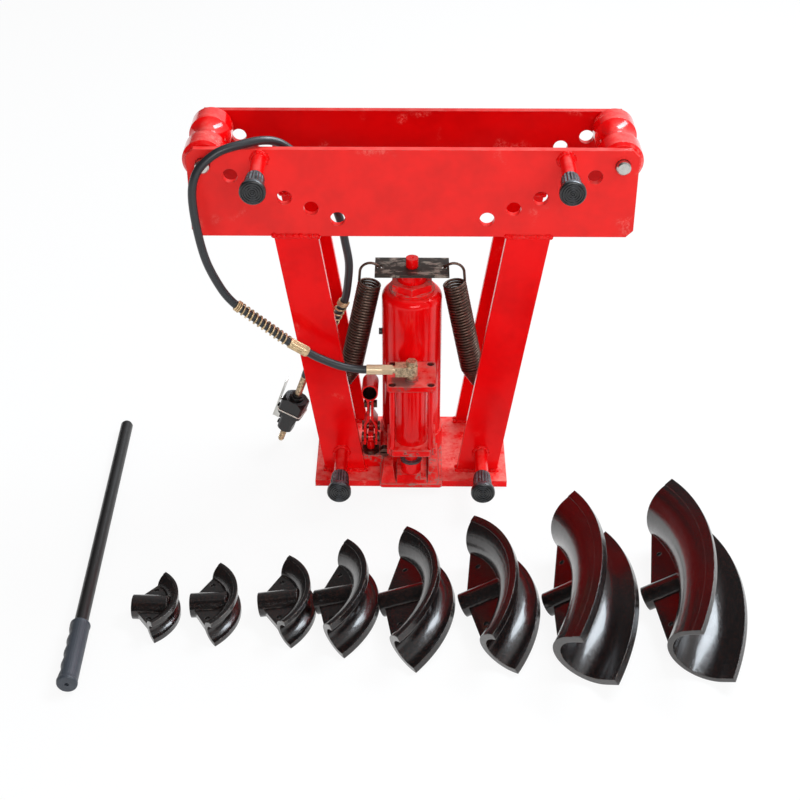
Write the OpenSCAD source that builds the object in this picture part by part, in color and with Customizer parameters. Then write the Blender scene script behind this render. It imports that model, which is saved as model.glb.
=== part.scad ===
// Air-over-hydraulic pipe bender with its bending dies and pump handle.
// Millimetres, X to the right, Y away from the operator, Z up.
// The origin lies on the underside of the base plate, below the ram's axis.

/* [Frame] */
// Length of each side plate
plate_l = 620; // [590:1:680]
// Height of each side plate
plate_h = 132; // [124:1:150]
// Thickness of the side plates and the legs
plate_t = 10; // [6:0.5:14]
// Clear width of the bay between the side plates
bay_w = 123; // [116:1:134]
// Height of the side plates' top edge above the floor
frame_h = 554; // [540:1:600]
// Cut across the corners of the side plates
corner_cut = 10; // [4:1:14]
// Length of the base plate
base_l = 296; // [280:1:330]
// Reach of the base plate in front of the ram's axis
base_front = 97.5; // [90:0.5:110]
// Reach of the base plate behind the ram's axis
base_rear = 77; // [76:0.5:110]
// Thickness of the base plate
base_t = 11; // [8:0.5:16]
// Width of a leg along the side plates
leg_w = 62; // [50:1:70]
// Distance from the end of a side plate to a leg's middle
leg_in = 146; // [120:1:170]
// Distance from the ram's axis to a leg's middle at the base plate
leg_foot_x = 102; // [95:1:108]
// Diameter of the rods that anchor the return springs
anchor_d = 8; // [6:0.5:12]
// Height of the anchor rods above the base plate
anchor_rise = 103; // [90:1:115]

/* [Pin holes] */
// Diameter of the pin holes
hole_d = 21; // [20.6:0.1:24]
// Pin holes at each end of a side plate
hole_n = 6; // [2:1:6]
// Distance from the plate's end to the outermost hole
hole_in = 22; // [18:0.5:30]
// Distance from the plate's top edge to the outermost hole
hole_drop = 23; // [18:0.5:28]
// Step of the holes along the plate
hole_step_x = 36.7; // [30:0.1:38]
// Step of the holes down the plate
hole_step_z = 16.4; // [10:0.1:17]

/* [Pegs] */
// Diameter of the pegs
peg_d = 20; // [16:0.5:24]
// Reach of the pegs and their caps in front of the side plate
peg_reach = 105; // [90:1:130]
// Distance from the plate's end to the upper peg
peg_in = 100; // [90:1:115]
// Distance from the plate's top edge to the upper peg
peg_drop = 14; // [13:0.5:16]
// Height of the lower pegs above the base plate
low_peg_rise = 35; // [30:1:45]
// Length of a rubber cap
cap_l = 45; // [35:1:60]
// Outer diameter of a cap at its mouth
cap_mouth_d = 25; // [25:0.5:30]
// Diameter of a cap's flared face
cap_face_d = 36; // [30:0.5:42]
// Thickness of rubber in front of the peg
cap_floor = 9; // [5:0.5:14]

/* [Rollers] */
// Diameter of the roller rims
roller_d = 60; // [54:0.5:66]
// Diameter of the roller at its waist
waist_d = 42; // [36:0.5:50]
// Width of a rim
rim_w = 36; // [28:0.5:40]
// Diameter of the roller pins
pin_d = 20; // [16:0.1:20.4]
// Length of pin in front of the front side plate
pin_nose = 10; // [6:0.5:14]
// Diameter of a pin's head
pin_head_d = 30; // [25:0.5:36]
// Thickness of a pin's head
pin_head_t = 8; // [5:0.5:12]

/* [Jack] */
// Width of the jack's foot
foot_w = 96; // [92:1:110]
// Reach of the foot in front of the ram's axis
foot_front = 115; // [110:1:125]
// Reach of the foot behind the ram's axis
foot_rear = 50; // [48:1:60]
// Thickness of the foot
foot_t = 6; // [5:0.5:8]
// Diameter of the seat below the reservoir
seat_d = 98; // [95:0.5:102]
// Height of the seat above the foot
seat_h = 33; // [32:0.5:36]
// Outer diameter of the oil reservoir
reservoir_d = 91; // [86:0.5:92]
// Wall of the oil reservoir
reservoir_wall = 4; // [2.5:0.25:6]
// Straight height of the reservoir
reservoir_h = 234; // [225:1:245]
// Radius of the reservoir's shoulder
shoulder_r = 13; // [8:0.5:14]
// Bore of the pressure cylinder
jack_bore = 50; // [48:0.5:54]
// Wall of the pressure cylinder
cylinder_wall = 5; // [4:0.25:6]
// Across the flats of the gland nut
nut_af = 59; // [56:0.5:66]
// Height of the gland nut's hexagon
nut_h = 12; // [8:0.5:16]
// Diameter of the ring under the hexagon
nut_ring_d = 69; // [66:0.5:74]
// Thickness of the ring under the hexagon
nut_ring_t = 4; // [2:0.5:6]
// Length of the gland nut's skirt
nut_skirt_l = 20; // [15:0.5:24]
// Diameter of the ram
ram_d = 44; // [40:0.5:46]
// Height of the ram's shoulder above the gland nut, drawn in
ram_rise = 17; // [14:0.5:24]
// Diameter of the ram's head
head_d = 18.5; // [17:0.1:19]
// Height of the ram's head above the spring plate
head_h = 15; // [12:0.5:18]
// Height of the piston on the ram
piston_h = 18; // [14:0.5:22]
// Length of the spring plate
yoke_l = 110; // [106:1:116]
// Width of the spring plate
yoke_w = 55; // [46:0.5:60]
// Thickness of the spring plate
yoke_t = 4; // [3:0.25:5]
// Diameter of the spring plate's hook holes
yoke_hole_d = 10.6; // [10:0.1:11.5]
// Diameter of the filler plug
plug_d = 10; // [8:0.5:14]
// Height of the filler plug above the seat
plug_rise = 172; // [150:1:190]

/* [Return springs] */
// Wire of the return springs
spring_wire = 3; // [2.5:0.1:3.2]
// Outer diameter of the return springs
spring_d = 36; // [30:0.5:36]
// Coils of each return spring
spring_n = 31; // [20:1:31]
// Distance from the ram's axis to the middle of a spring's top coil
spring_top_x = 63; // [62:0.5:66]
// Drop from the spring plate's underside to the top coil
spring_drop = 23; // [20:0.5:26]

/* [Hand pump] */
// Distance from the ram's axis to the pump lever
lever_x = 63; // [62.5:0.5:63.5]
// Distance from the pivot to the pump plunger
plunger_arm = 30; // [27:0.5:32]
// Diameter of the pump plunger
plunger_d = 12; // [10:0.5:14]
// Diameter of the pump barrel
barrel_d = 26; // [22:0.5:28]
// Diameter of the pivot pin
pivot_d = 10; // [8:0.25:11]
// Height of the pivot above the pump block
pivot_rise = 26; // [24:0.5:30]
// Bore of the handle socket
socket_bore = 20; // [19.4:0.1:21]
// Wall of the handle socket
socket_wall = 2.5; // [2:0.1:3]
// Length of the handle socket
socket_l = 60; // [50:1:70]
// Height of the socket above the pivot, square to the socket
socket_rise = 79; // [74:1:84]
// Distance of the socket's middle in front of the pivot
socket_fore = 46; // [40:1:50]
// Slope of the socket at rest
socket_tilt = 15; // [8:1:20]
// Thickness of the lever's two plates
strap_t = 4; // [3:0.25:5]

/* [Air pump] */
// Distance from the ram's axis to the air pump's axis
pump_fore = 86.5; // [84:0.5:90]
// Width of the air pump's plates
pump_w = 73; // [70:0.5:78]
// Depth of the air pump's plates
pump_deep = 70; // [68:0.5:74]
// Thickness of the top plate
top_t = 9; // [7:0.5:12]
// Thickness of the bottom flange
flange_t = 11; // [8:0.5:14]
// Outer diameter of the air cylinder
air_d = 49; // [44:0.5:52]
// Wall of the air cylinder
air_wall = 2; // [1.5:0.1:3]
// Height of the air cylinder
air_h = 106; // [95:1:120]
// Diameter of the tie bolts
tie_d = 8; // [6:0.25:9]
// Spacing of the tie bolts
tie_pitch = 57; // [55:0.5:58]
// Diameter of the neck below the pump
neck_d = 20; // [18:0.5:26]
// Height of the neck
neck_h = 48; // [45:0.5:54]
// Diameter of the banjo bolt
banjo_d = 10; // [8:0.25:12]
// Side of the banjo fitting's square section
banjo_s = 16; // [14:0.5:20]
// Diameter of the hose ferrule
ferrule_d = 15; // [14:0.5:18]
// Length of the hose ferrule
ferrule_l = 42; // [42:1:42]

/* [Air line] */
// Diameter of the air hose
hose_d = 12; // [10:0.25:13]
// Diameter of the hose sleeves
sleeve_d = 16; // [14.5:0.25:18]
// Wire of the guard springs
guard_wire = 2.2; // [1.5:0.1:2.6]
// Coils of each guard spring
guard_n = 12; // [6:1:12]
// Diameter of the valve's inlet nipple
nipple_d = 10; // [8:0.5:12]
// Length of the valve's inlet nipple
nipple_l = 25; // [20:0.5:25]
// Width of the valve's lower body
valve_d = 23; // [20:0.5:25]
// Length of the valve's lower body
valve_l = 34; // [34:0.5:36]
// Width of the valve's head
valve_head_w = 38; // [34:0.5:39]
// Depth of the valve's head
valve_head_deep = 32; // [28:0.5:38]
// Length of the valve's head
valve_head_l = 35; // [33:0.5:37]
// Diameter of the valve's tube
valve_tube_d = 11; // [10:0.25:13]
// Length of the valve's tube
valve_tube_l = 38; // [38:1:38]
// Width of the valve's lever
trigger_w = 12; // [9:0.5:14]
// Length of the valve's lever
trigger_l = 75; // [65:1:80]

/* [Handle] */
// Length of the pump handle
handle_l = 600; // [560:1:640]
// Diameter of the handle's bar
bar_d = 19; // [17:0.1:19.4]
// Length of the grip
grip_l = 116; // [100:1:130]
// Diameter of the grip
grip_d = 28; // [26:0.5:32]

/* [Dies] */
// Diameter of the dies' stubs
stub_d = 34; // [32:0.5:35]
// Depth of the sockets that take the ram's head
socket_deep = 20; // [18:0.5:22]
// Thickness of the dies' webs
web_t = 10; // [7:0.5:14]
// Diameter of the holes in the webs
web_hole_d = 7; // [5:0.5:8]
// Distance from the ram's axis to the row of dies
row_fore = 390; // [380:1:410]
// Half length of the row of dies
row_l = 400; // [400:1:430]

/* [Hidden] */
$fn = 64;

// Overrun of every cut past the face that it leaves
over = 1;
// Radial gap of a shaft that turns or slides in its hole
run_gap = 0.05;
// Gap between pieces that are put together and stay so
fit_gap = 0.1;
// Gap between faces that pass each other
move_gap = 0.4;

// Colours
red = [0.80, 0.05, 0.07];
steel = [0.72, 0.72, 0.70];
dark_steel = [0.30, 0.29, 0.28];
zinc = [0.72, 0.65, 0.50];
rubber = [0.10, 0.10, 0.10];
black_iron = [0.07, 0.07, 0.08];
slate = [0.22, 0.24, 0.27];

// Heights of the frame and the jack above the floor
plate_z = frame_h - plate_h;
foot_z = base_t + foot_t;
seat_z = foot_z + seat_h;
shoulder_z = seat_z + reservoir_h;
jack_top_z = shoulder_z + shoulder_r;
nut_z = jack_top_z + nut_ring_t;
gland_z = nut_z + nut_h;
yoke_z = gland_z + ram_rise;
skirt_z = jack_top_z - nut_skirt_l;
cylinder_d = jack_bore + 2 * cylinder_wall;
skirt_step = 1;
nut_skirt_d = cylinder_d + 2 * skirt_step;

// Frame
front_y = -bay_w / 2;
rear_y = bay_w / 2;
front_face_y = front_y - plate_t;
rear_face_y = rear_y + plate_t;
leg_top_x = plate_l / 2 - leg_in;
function leg_x(z) = leg_foot_x + (leg_top_x - leg_foot_x) * (z - base_t) / (plate_z - base_t);
function hole_x(i) = plate_l / 2 - hole_in - i * hole_step_x;
function hole_z(i) = frame_h - hole_drop - i * hole_step_z;

// Pegs and caps
peg_end_y = front_face_y - peg_reach + cap_floor;
cap_face_y = front_face_y - peg_reach;
cap_face_t = 8;
cap_lip_t = 3;
peg_x = plate_l / 2 - peg_in;
peg_z = frame_h - peg_drop;
low_peg_z = base_t + low_peg_rise;
low_peg_x = leg_x(low_peg_z);

// Rollers and pins
roller_play = 1;
roller_l = bay_w - 2 * roller_play;
rim_cut = 4;
pin_cut = 2;

// Jack base: toes at the front, pump block on the left, boss of the release valve
toe_h = 15;
toe_slope = 24;
toe_in = 3;
toe_w = 14;
left_toe_x = -35;
left_toe_flare = 4.5;
right_toe_x = 34;
right_toe_flare = 2;
block_h = 9;
block_slope = 10;
block_w = 36;
block_x = -4;
step_h = 4;
step_slope = 4;
step_w = 10;
foot_round = 6;
pump_block_w = 32;
pump_block_h = 21;
pump_block_z = base_t + pump_block_h;
pump_block_margin = 15;
valve_boss_d = 15;
valve_boss_x = -41;
valve_boss_z = 41.5;
valve_boss_y = -56;
ear_t = 8;
ear_r = 10;

// Release valve
release_d = 8;
release_knob_d = 15;
release_knob_l = 10;
release_slot = 3;
release_deep = 16;

// Ram
piston_lift = 6;
piston_z = seat_z + piston_lift;
seal_w = 6;
dimple_d = 5;
neck_waist_d = 16;
neck_waist_h = 1;
yoke_hole_in = 7;
yoke_hole_x = yoke_l / 2 - yoke_hole_in;
plug_out = 4.5;

// Return spring: hook over the spring plate's end, coils, cone, ring round the anchor rod
spring_r = (spring_d - spring_wire) / 2;
hook_r = (spring_top_x + spring_r - yoke_hole_x) / 2;
hook_in = 2;
hook_drop = 6;
hook_x = yoke_hole_x + hook_r - hook_in;
hook_z = yoke_z - hook_drop;
anchor_z = base_t + anchor_rise;
anchor_in = 12;
anchor_x = leg_x(anchor_z) - anchor_in;
ring_r = anchor_d / 2 + move_gap + spring_wire / 2;
spring_top = [spring_top_x, 0, yoke_z - spring_drop];
spring_tail = 12;
spring_foot = [anchor_x - ring_r, 0, anchor_z + spring_tail];
spring_tip_r = 3;
cone_share = 0.18;

// Hand pump and its lever, seen from the pivot
pivot_y = -16;
pivot_z = pump_block_z + pivot_rise;
plunger_y = pivot_y - plunger_arm;
barrel_h = 6;
barrel_seat = 1;
barrel_floor = 2;
plunger_lift = 12;
tang_t = 8;
tang_d = 18;
plunger_pin_d = 8;
slot_lift = 0.8;
slot_run = 2.5;
fork_gap = 13;
waist_gap = 2;
socket_floor = 6;
lug_r = 11;
lug_drop = 17;
strap_w = 46;
waist_low = 15;
waist_high = 26;
flare_drop = 18;
pin_cap_t = 3;
pin_cap_d = 15;
clamp_d = 6;
clamp_head_d = 11;
clamp_head_t = 5;
clamp_rise = 46;
clamp_fore = 28;

// Air pump
neck_z = foot_z + block_h;
flange_z = neck_z + neck_h;
air_z = flange_z + flange_t;
top_z = air_z + air_h;
pump_top_z = top_z + top_t;
plate_round = 6;
flange_cut = 9;
tie_head_d = 9.4;
tie_head_h = 4;
tie_recess_d = 11;
tie_recess = 5;
port_d = 3;
port_pitch = 19;
port_deep = 4;
air_piston_h = 12;
air_room = 8;
air_piston_z = top_z - air_room - air_piston_h;
air_rod_d = 10;
air_rod_foot = 6;
neck_bore_d = 12;
neck_collar_d = 31;
neck_collar_l = 19;
neck_seal_d = 33;
neck_seal_h = 3.5;
air_spring_d = 30;
air_spring_bore = 16;
boss_d = 18;
boss_h = 4;
banjo_rise = 10;
banjo_fore = 15.5;
banjo_y = -pump_fore - banjo_fore;
banjo_z = pump_top_z + banjo_rise;
banjo_l = 24;
banjo_r = 9;
bolt_deep = 6;
bolt_head_af = 14;
bolt_head_h = 8;
crimp_l = 19;
crimp_af = 14;
crimp_neck_l = 4;
crimp_neck_d = 11;

// Air control valve: its nipple stands on the floor, its axis leans towards the frame
valve_at = [-211, 24];
valve_tilt = 20;
valve_swing = -21;
valve_collar_d = 22;
valve_collar_l = 9;
valve_collar_step = 5.5;
valve_neck_d = 16;
valve_round = 5;
valve_corner_share = 1.2;
valve_rib_l = 16;
valve_rib_w = 18;
valve_len = nipple_l + valve_l + valve_head_l + valve_collar_l + valve_tube_l;
valve_up = [sin(valve_tilt) * cos(valve_swing), sin(valve_tilt) * sin(valve_swing), cos(valve_tilt)];
valve_foot = [valve_at[0], valve_at[1], nipple_d / 2 * sin(valve_tilt) + move_gap];
valve_top = valve_foot + valve_len * valve_up;
trigger_t = 1.6;
trigger_out = 4.5;
trigger_x = -valve_head_w / 2 - trigger_out;
trigger_pin_d = 3;
trigger_foot = 5;
trigger_rise = 23;
cheek_deep = 3.5;
cheek_l = 10;
cheek_taper = 12;
stem_d = 8;
stem_out = 3.5;
stem_rise = 9;
trigger_z = nipple_l + trigger_rise;
lug_w = 6;
lug_h = 9;
lug_in = 1.2;
tab_t = 1.6;
button_d = 6;
button_rise = 30;
button_deep = 6;
button_room = 4;

// Route of the air hose, from the ferrule to the valve's tube
hose_start = [-banjo_l - ferrule_l, banjo_y, banjo_z + banjo_s / 2];
hose_route = [
    [-82, -102, 219], [-106, -104, 226], [-134, -106, 240], [-151, -107, 251], [-177, -109, 269],
    [-202, -110, 291], [-227, -111, 313], [-252, -112, 335],
    [-270, -112, 361], [-288, -110, 404], [-298, -106, 456], [-301, -101, 500], [-295, -97, 527],
    [-282, -92, 544], [-261, -84, 557], [-235, -72, 561], [-209, -58, 561], [-189, -47, 555],
    [-172, -42, 543], [-143, -40, 514], [-117, -37, 468], [-103, -35, 429], [-97, -33, 394],
    [-92, -30, 357], [-94, -26, 324], [-99.5, -19, 288.5], [-110, -15, 264],
    [-122, -10, 235], [-135, -5, 205], [-148, 0, 175], [-155, 2, 159]
];
hose_points = concat([hose_start], hose_route, [valve_top + hose_d * valve_up, valve_top]);
hose_sides = 10;
upper_sleeve = [hose_route[3], hose_route[4]];
upper_guard = [hose_route[4], hose_route[7]];
lower_guard = [hose_route[29], hose_route[25]];
lower_sleeve = [hose_route[29], hose_route[30]];
guard_gap = 0.5;
guard_r = hose_d / 2 + guard_gap + guard_wire / 2;
guard_inset = 3;
wire_sides = 6;
curl_rings = 8;
steep_share = 0.9;

// Handle on the floor
handle_at = [-463, 53];
handle_swing = 1.5;
handle_pitch = atan((grip_d - bar_d) / 2 / (handle_l - grip_l));
grip_end = 5;
grip_hole_d = 5;
finger_n = 4;
finger_deep = 2.5;
finger_w = 20;
finger_x = (grip_d + finger_w) / 2 - finger_deep;
bar_nose = 4;

// Dies: pipe bent, bend radius to the pipe's middle, half width, half arc, lips past the pipe's middle,
// stub behind the chord between the pipe's ends, and its length left free behind the web
die_pipe_d = [21.3, 26.9, 33.7, 42.4, 48.3, 60.3, 76.1, 88.9];
die_bend_r = [66, 83, 91, 124, 154, 184, 295, 329];
die_half_w = [18, 20, 23.5, 30, 33.5, 40, 49, 52];
die_half_arc = [53, 50, 50, 47, 48.5, 42.5, 29, 27.4];
die_lip = [0, 0, 0, 0, 0, 0, 20.5, 19];
die_stub_l = [37, 37, 43, 43, 44, 50, 58.5, 69];
die_stub_free = [9, 7, 8, 8, 8, 10, 12, 12];
// Where each die's arc centre stands, along the row and in front, and how it is turned
die_x_shares = [-0.963, -0.798, -0.56, -0.423, -0.233, -0.008, 0.066, 0.344];
die_y_shares = [1.018, 1.01, 1.005, 0.977, 0.99, 1.008, 0.959, 0.943];
die_swing = [-3, 0, 1, -5.5, -3, 3.5, -3.7, -1.3];
web_steps = 12;
head_gap = 0.5;

// Rods along X and Y
module x_rod(x0, x1, y, z, d) {
    translate([x0, y, z]) rotate([0, 90, 0]) cylinder(h = x1 - x0, d = d);
}

module y_rod(x, y0, y1, z, d) {
    translate([x, y1, z]) rotate([90, 0, 0]) cylinder(h = y1 - y0, d = d);
}

module z_rod(x, y, z0, z1, d) {
    translate([x, y, z0]) cylinder(h = z1 - z0, d = d);
}

// Plate in the XZ plane that ends at y
module upright(y, t) {
    translate([0, y, 0]) rotate([90, 0, 0]) linear_extrude(t) children();
}

module round_rect(w, d, r) {
    square([w, d - 2 * r], center = true);
    square([w - 2 * r, d], center = true);
    for (sx = [-1, 1], sy = [-1, 1])
        translate([sx * (w / 2 - r), sy * (d / 2 - r)]) circle(r);
}

module hexagon(af, h) {
    cylinder(h = h, d = af / cos(30), $fn = 6);
}

// Sweeping a wire or hose along a path
function unit(v) = v / norm(v);
function heading(p, i) = unit(p[min(i + 1, len(p) - 1)] - p[max(i - 1, 0)]);
function carried(s, t) = unit(s - (s * t) * t);
function first_side(t) = carried(abs(t[2]) > steep_share ? [1, 0, 0] : [0, 0, 1], t);
function sides_along(p) = [
    for (i = 0, s = first_side(heading(p, 0)); i < len(p);
         i = i + 1, s = i < len(p) ? carried(s, heading(p, i)) : s) s
];

module swept(p, d, n) {
    sides = sides_along(p);
    last = (len(p) - 1) * n;
    points = [
        for (i = [0:len(p) - 1]) let (t = heading(p, i), b = cross(t, sides[i]))
        for (k = [0:n - 1]) p[i] + d / 2 * (cos(360 * k / n) * sides[i] + sin(360 * k / n) * b)
    ];
    walls = [
        for (i = [0:len(p) - 2]) for (k = [0:n - 1])
        let (a = i * n + k, b = i * n + (k + 1) % n, c = b + n, e = a + n)
        for (f = [[a, c, b], [a, e, c]]) f
    ];
    start = [for (k = [1:n - 2]) [0, k, k + 1]];
    end = [for (k = [1:n - 2]) [last, last + k + 1, last + k]];
    polyhedron(points, concat(walls, start, end), convexity = 10);
}

// Points of a coil from a to b, whose radius r falls to tip over the last share of its length
function coil(a, b, r, tip, share, turns, out) = let (
    axis = unit(b - a),
    n = carried(out, axis),
    m = cross(axis, n),
    steps = turns * curl_rings
) [
    for (k = [0:steps]) let (
        f = k / steps,
        q = f < 1 - share ? r : r + (tip - r) * (f - 1 + share) / share,
        angle = 360 * k / curl_rings
    ) a + (b - a) * f + q * (cos(angle) * n + sin(angle) * m)
];

// Least gap of a wound wire to itself, between points at least most of a turn apart
function self_gap(p, d) = min([
    for (i = [0:len(p) - 1]) for (j = [i + curl_rings - 2:1:len(p) - 1]) norm(p[i] - p[j])
]) - d;

// Frame
module base_plate() {
    color(red) translate([-base_l / 2, -base_front, 0]) cube([base_l, base_front + base_rear, base_t]);
}

module side_plate(y) {
    x = plate_l / 2;
    color(red) difference() {
        upright(y, plate_t) polygon([
            [-x + corner_cut, plate_z], [x - corner_cut, plate_z], [x, plate_z + corner_cut],
            [x, frame_h - corner_cut], [x - corner_cut, frame_h], [-x + corner_cut, frame_h],
            [-x, frame_h - corner_cut], [-x, plate_z + corner_cut]
        ]);
        for (side = [-1, 1], i = [0:hole_n - 1])
            y_rod(side * hole_x(i), y - plate_t - over, y + over, hole_z(i), hole_d);
    }
}

module front_side_plate() side_plate(front_y);
module rear_side_plate() side_plate(rear_face_y);

module leg(side, y) {
    color(red) upright(y, plate_t) polygon([
        [side * (leg_foot_x - leg_w / 2), base_t], [side * (leg_foot_x + leg_w / 2), base_t],
        [side * (leg_top_x + leg_w / 2), plate_z], [side * (leg_top_x - leg_w / 2), plate_z]
    ]);
}

module front_left_leg() leg(-1, front_y);
module front_right_leg() leg(1, front_y);
module rear_left_leg() leg(-1, rear_face_y);
module rear_right_leg() leg(1, rear_face_y);

module at_pegs() {
    for (side = [-1, 1]) {
        translate([side * peg_x, 0, peg_z]) children();
        translate([side * low_peg_x, 0, low_peg_z]) children();
    }
}

module support_pegs() {
    color(red) at_pegs() y_rod(0, peg_end_y, front_face_y, 0, peg_d);
}

// Cap with a flared, slightly domed face
module peg_caps() {
    color(rubber) at_pegs() translate([0, cap_face_y, 0]) rotate([-90, 0, 0]) difference() {
        rotate_extrude() polygon([
            [0, 0], [cap_face_d / 2 - cap_lip_t, 0], [cap_face_d / 2, cap_lip_t],
            [cap_face_d / 2, cap_face_t], [cap_mouth_d / 2 + cap_lip_t, cap_l / 2],
            [cap_mouth_d / 2, cap_l - cap_lip_t], [cap_mouth_d / 2, cap_l], [0, cap_l]
        ]);
        translate([0, 0, cap_floor]) cylinder(h = cap_l, d = peg_d + 2 * fit_gap);
    }
}

module spring_anchor_rods() {
    color(dark_steel) for (side = [-1, 1]) y_rod(side * anchor_x, front_y, rear_y, anchor_z, anchor_d);
}

// Rollers and their pins
module roller(side) {
    depth = (roller_d - waist_d) / 2;
    half = roller_l / 2 - rim_w;
    groove_r = (half * half + depth * depth) / (2 * depth);
    color(red) translate([side * hole_x(0), 0, hole_z(0)]) rotate([90, 0, 0]) rotate_extrude() difference() {
        polygon([
            [pin_d / 2 + run_gap, -roller_l / 2], [roller_d / 2 - rim_cut, -roller_l / 2],
            [roller_d / 2, -roller_l / 2 + rim_cut], [roller_d / 2, roller_l / 2 - rim_cut],
            [roller_d / 2 - rim_cut, roller_l / 2], [pin_d / 2 + run_gap, roller_l / 2]
        ]);
        translate([waist_d / 2 + groove_r, 0]) circle(groove_r, $fn = 200);
    }
}

module left_roller() roller(-1);
module right_roller() roller(1);

module roller_pin(side) {
    front = front_face_y - pin_nose;
    color(steel) translate([side * hole_x(0), front, hole_z(0)]) rotate([-90, 0, 0])
    rotate_extrude() polygon([
        [0, 0], [pin_d / 2 - pin_cut, 0], [pin_d / 2, pin_cut], [pin_d / 2, rear_face_y - front],
        [pin_head_d / 2, rear_face_y - front], [pin_head_d / 2, rear_face_y - front + pin_head_t - pin_cut],
        [pin_head_d / 2 - pin_cut, rear_face_y - front + pin_head_t], [0, rear_face_y - front + pin_head_t]
    ]);
}

module left_roller_pin() roller_pin(-1);
module right_roller_pin() roller_pin(1);

// Jack
// Rib from the seat to the foot's front, sloping down to it and flared at its root
module toe(x, w, flare, h, slope) {
    front = toe_in - foot_front;
    root = w / 2 + flare;
    intersection() {
        translate([x - root, 0, 0]) rotate([90, 0, 90]) linear_extrude(2 * root) polygon([
            [front, foot_z], [front + slope, foot_z + h], [0, foot_z + h], [0, foot_z]
        ]);
        upright(0, foot_front) polygon([
            [x - root, foot_z], [x + root, foot_z], [x + w / 2, foot_z + h], [x - w / 2, foot_z + h]
        ]);
    }
}

module jack_base() {
    color(red) difference() {
        union() {
            translate([0, (foot_rear - foot_front) / 2, base_t]) linear_extrude(foot_t)
                round_rect(foot_w, foot_front + foot_rear, foot_round);
            z_rod(0, 0, foot_z, seat_z, seat_d);
            toe(left_toe_x, toe_w, left_toe_flare, toe_h, toe_slope);
            toe(right_toe_x, toe_w, right_toe_flare, toe_h, toe_slope);
            toe(block_x, block_w, 0, block_h, block_slope);
            toe(block_x + (block_w + step_w) / 2, step_w, 0, step_h, step_slope);
            translate([-lever_x - pump_block_w / 2, plunger_y - pump_block_margin, base_t])
                cube([lever_x, pivot_y - plunger_y + 2 * pump_block_margin, pump_block_h]);
            translate([-lever_x - ear_t / 2, pivot_y - ear_r, pump_block_z])
                cube([ear_t, 2 * ear_r, pivot_rise]);
            x_rod(-lever_x - ear_t / 2, -lever_x + ear_t / 2, pivot_y, pivot_z, 2 * ear_r);
            y_rod(valve_boss_x, valve_boss_y, 0, valve_boss_z, valve_boss_d);
        }
        x_rod(-lever_x - ear_t, -lever_x + ear_t, pivot_y, pivot_z, pivot_d + 2 * run_gap);
        z_rod(-lever_x, plunger_y, base_t + barrel_seat, pump_block_z + over, barrel_d + 2 * fit_gap);
        y_rod(valve_boss_x, valve_boss_y - over, valve_boss_y + release_deep + over, valve_boss_z,
              release_d + 2 * run_gap);
    }
}

module jack_reservoir() {
    r = reservoir_d / 2;
    inner = r - reservoir_wall;
    color(red) translate([0, 0, seat_z]) rotate_extrude() difference() {
        union() {
            square([r, reservoir_h]);
            square([r - shoulder_r, reservoir_h + shoulder_r]);
            translate([r - shoulder_r, reservoir_h]) circle(shoulder_r);
        }
        translate([0, -over]) square([inner, reservoir_h + over - reservoir_wall]);
        translate([0, -over]) square([nut_skirt_d / 2 + fit_gap, reservoir_h + shoulder_r + 2 * over]);
        translate([-r, 0]) square([r, reservoir_h + shoulder_r]);
    }
}

module jack_cylinder() {
    color(steel) difference() {
        z_rod(0, 0, seat_z, skirt_z, cylinder_d);
        z_rod(0, 0, seat_z - over, skirt_z + over, jack_bore);
    }
}

module gland_nut() {
    color(red) difference() {
        union() {
            z_rod(0, 0, skirt_z, jack_top_z, nut_skirt_d);
            z_rod(0, 0, jack_top_z, nut_z, nut_ring_d);
            translate([0, 0, nut_z]) rotate([0, 0, 30]) hexagon(nut_af, nut_h);
        }
        z_rod(0, 0, skirt_z - over, gland_z + over, ram_d + 2 * run_gap);
    }
}

module filler_plug() {
    r = reservoir_d / 2;
    color(rubber) difference() {
        x_rod(-r - plug_out, -r + reservoir_wall, 0, seat_z + plug_rise, plug_d);
        z_rod(0, 0, seat_z, shoulder_z, reservoir_d);
    }
}

// Screw with a slotted knob that lets the oil back
module release_valve() {
    knob_y = valve_boss_y - move_gap;
    color(dark_steel) difference() {
        union() {
            y_rod(valve_boss_x, knob_y, valve_boss_y + release_deep, valve_boss_z, release_d);
            y_rod(valve_boss_x, knob_y - release_knob_l, knob_y, valve_boss_z, release_knob_d);
        }
        translate([valve_boss_x, knob_y - release_knob_l - over, valve_boss_z - release_slot / 2])
            translate([-release_knob_d, 0, 0]) cube([2 * release_knob_d, release_slot + over, release_slot]);
    }
}

// Ram with its piston below and its head above the spring plate, on a narrow waist
module ram() {
    top = yoke_z + yoke_t + head_h;
    groove_z = piston_z + (piston_h - seal_w) / 2;
    color(red) difference() {
        union() {
            z_rod(0, 0, piston_z, yoke_z, ram_d);
            z_rod(0, 0, piston_z, piston_z + piston_h, jack_bore - 2 * run_gap);
            z_rod(0, 0, yoke_z, top, neck_waist_d);
            z_rod(0, 0, yoke_z + yoke_t + neck_waist_h, top, head_d);
        }
        difference() {
            z_rod(0, 0, groove_z, groove_z + seal_w, jack_bore + over);
            z_rod(0, 0, groove_z - over, groove_z + seal_w + over, ram_d);
        }
        translate([0, 0, top - dimple_d / 2]) cylinder(h = dimple_d, d1 = 0, d2 = 2 * dimple_d);
    }
}

module ram_seal() {
    groove_z = piston_z + (piston_h - seal_w) / 2;
    color(rubber) difference() {
        z_rod(0, 0, groove_z, groove_z + seal_w, jack_bore - 2 * run_gap);
        z_rod(0, 0, groove_z - over, groove_z + seal_w + over, ram_d);
    }
}

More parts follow.
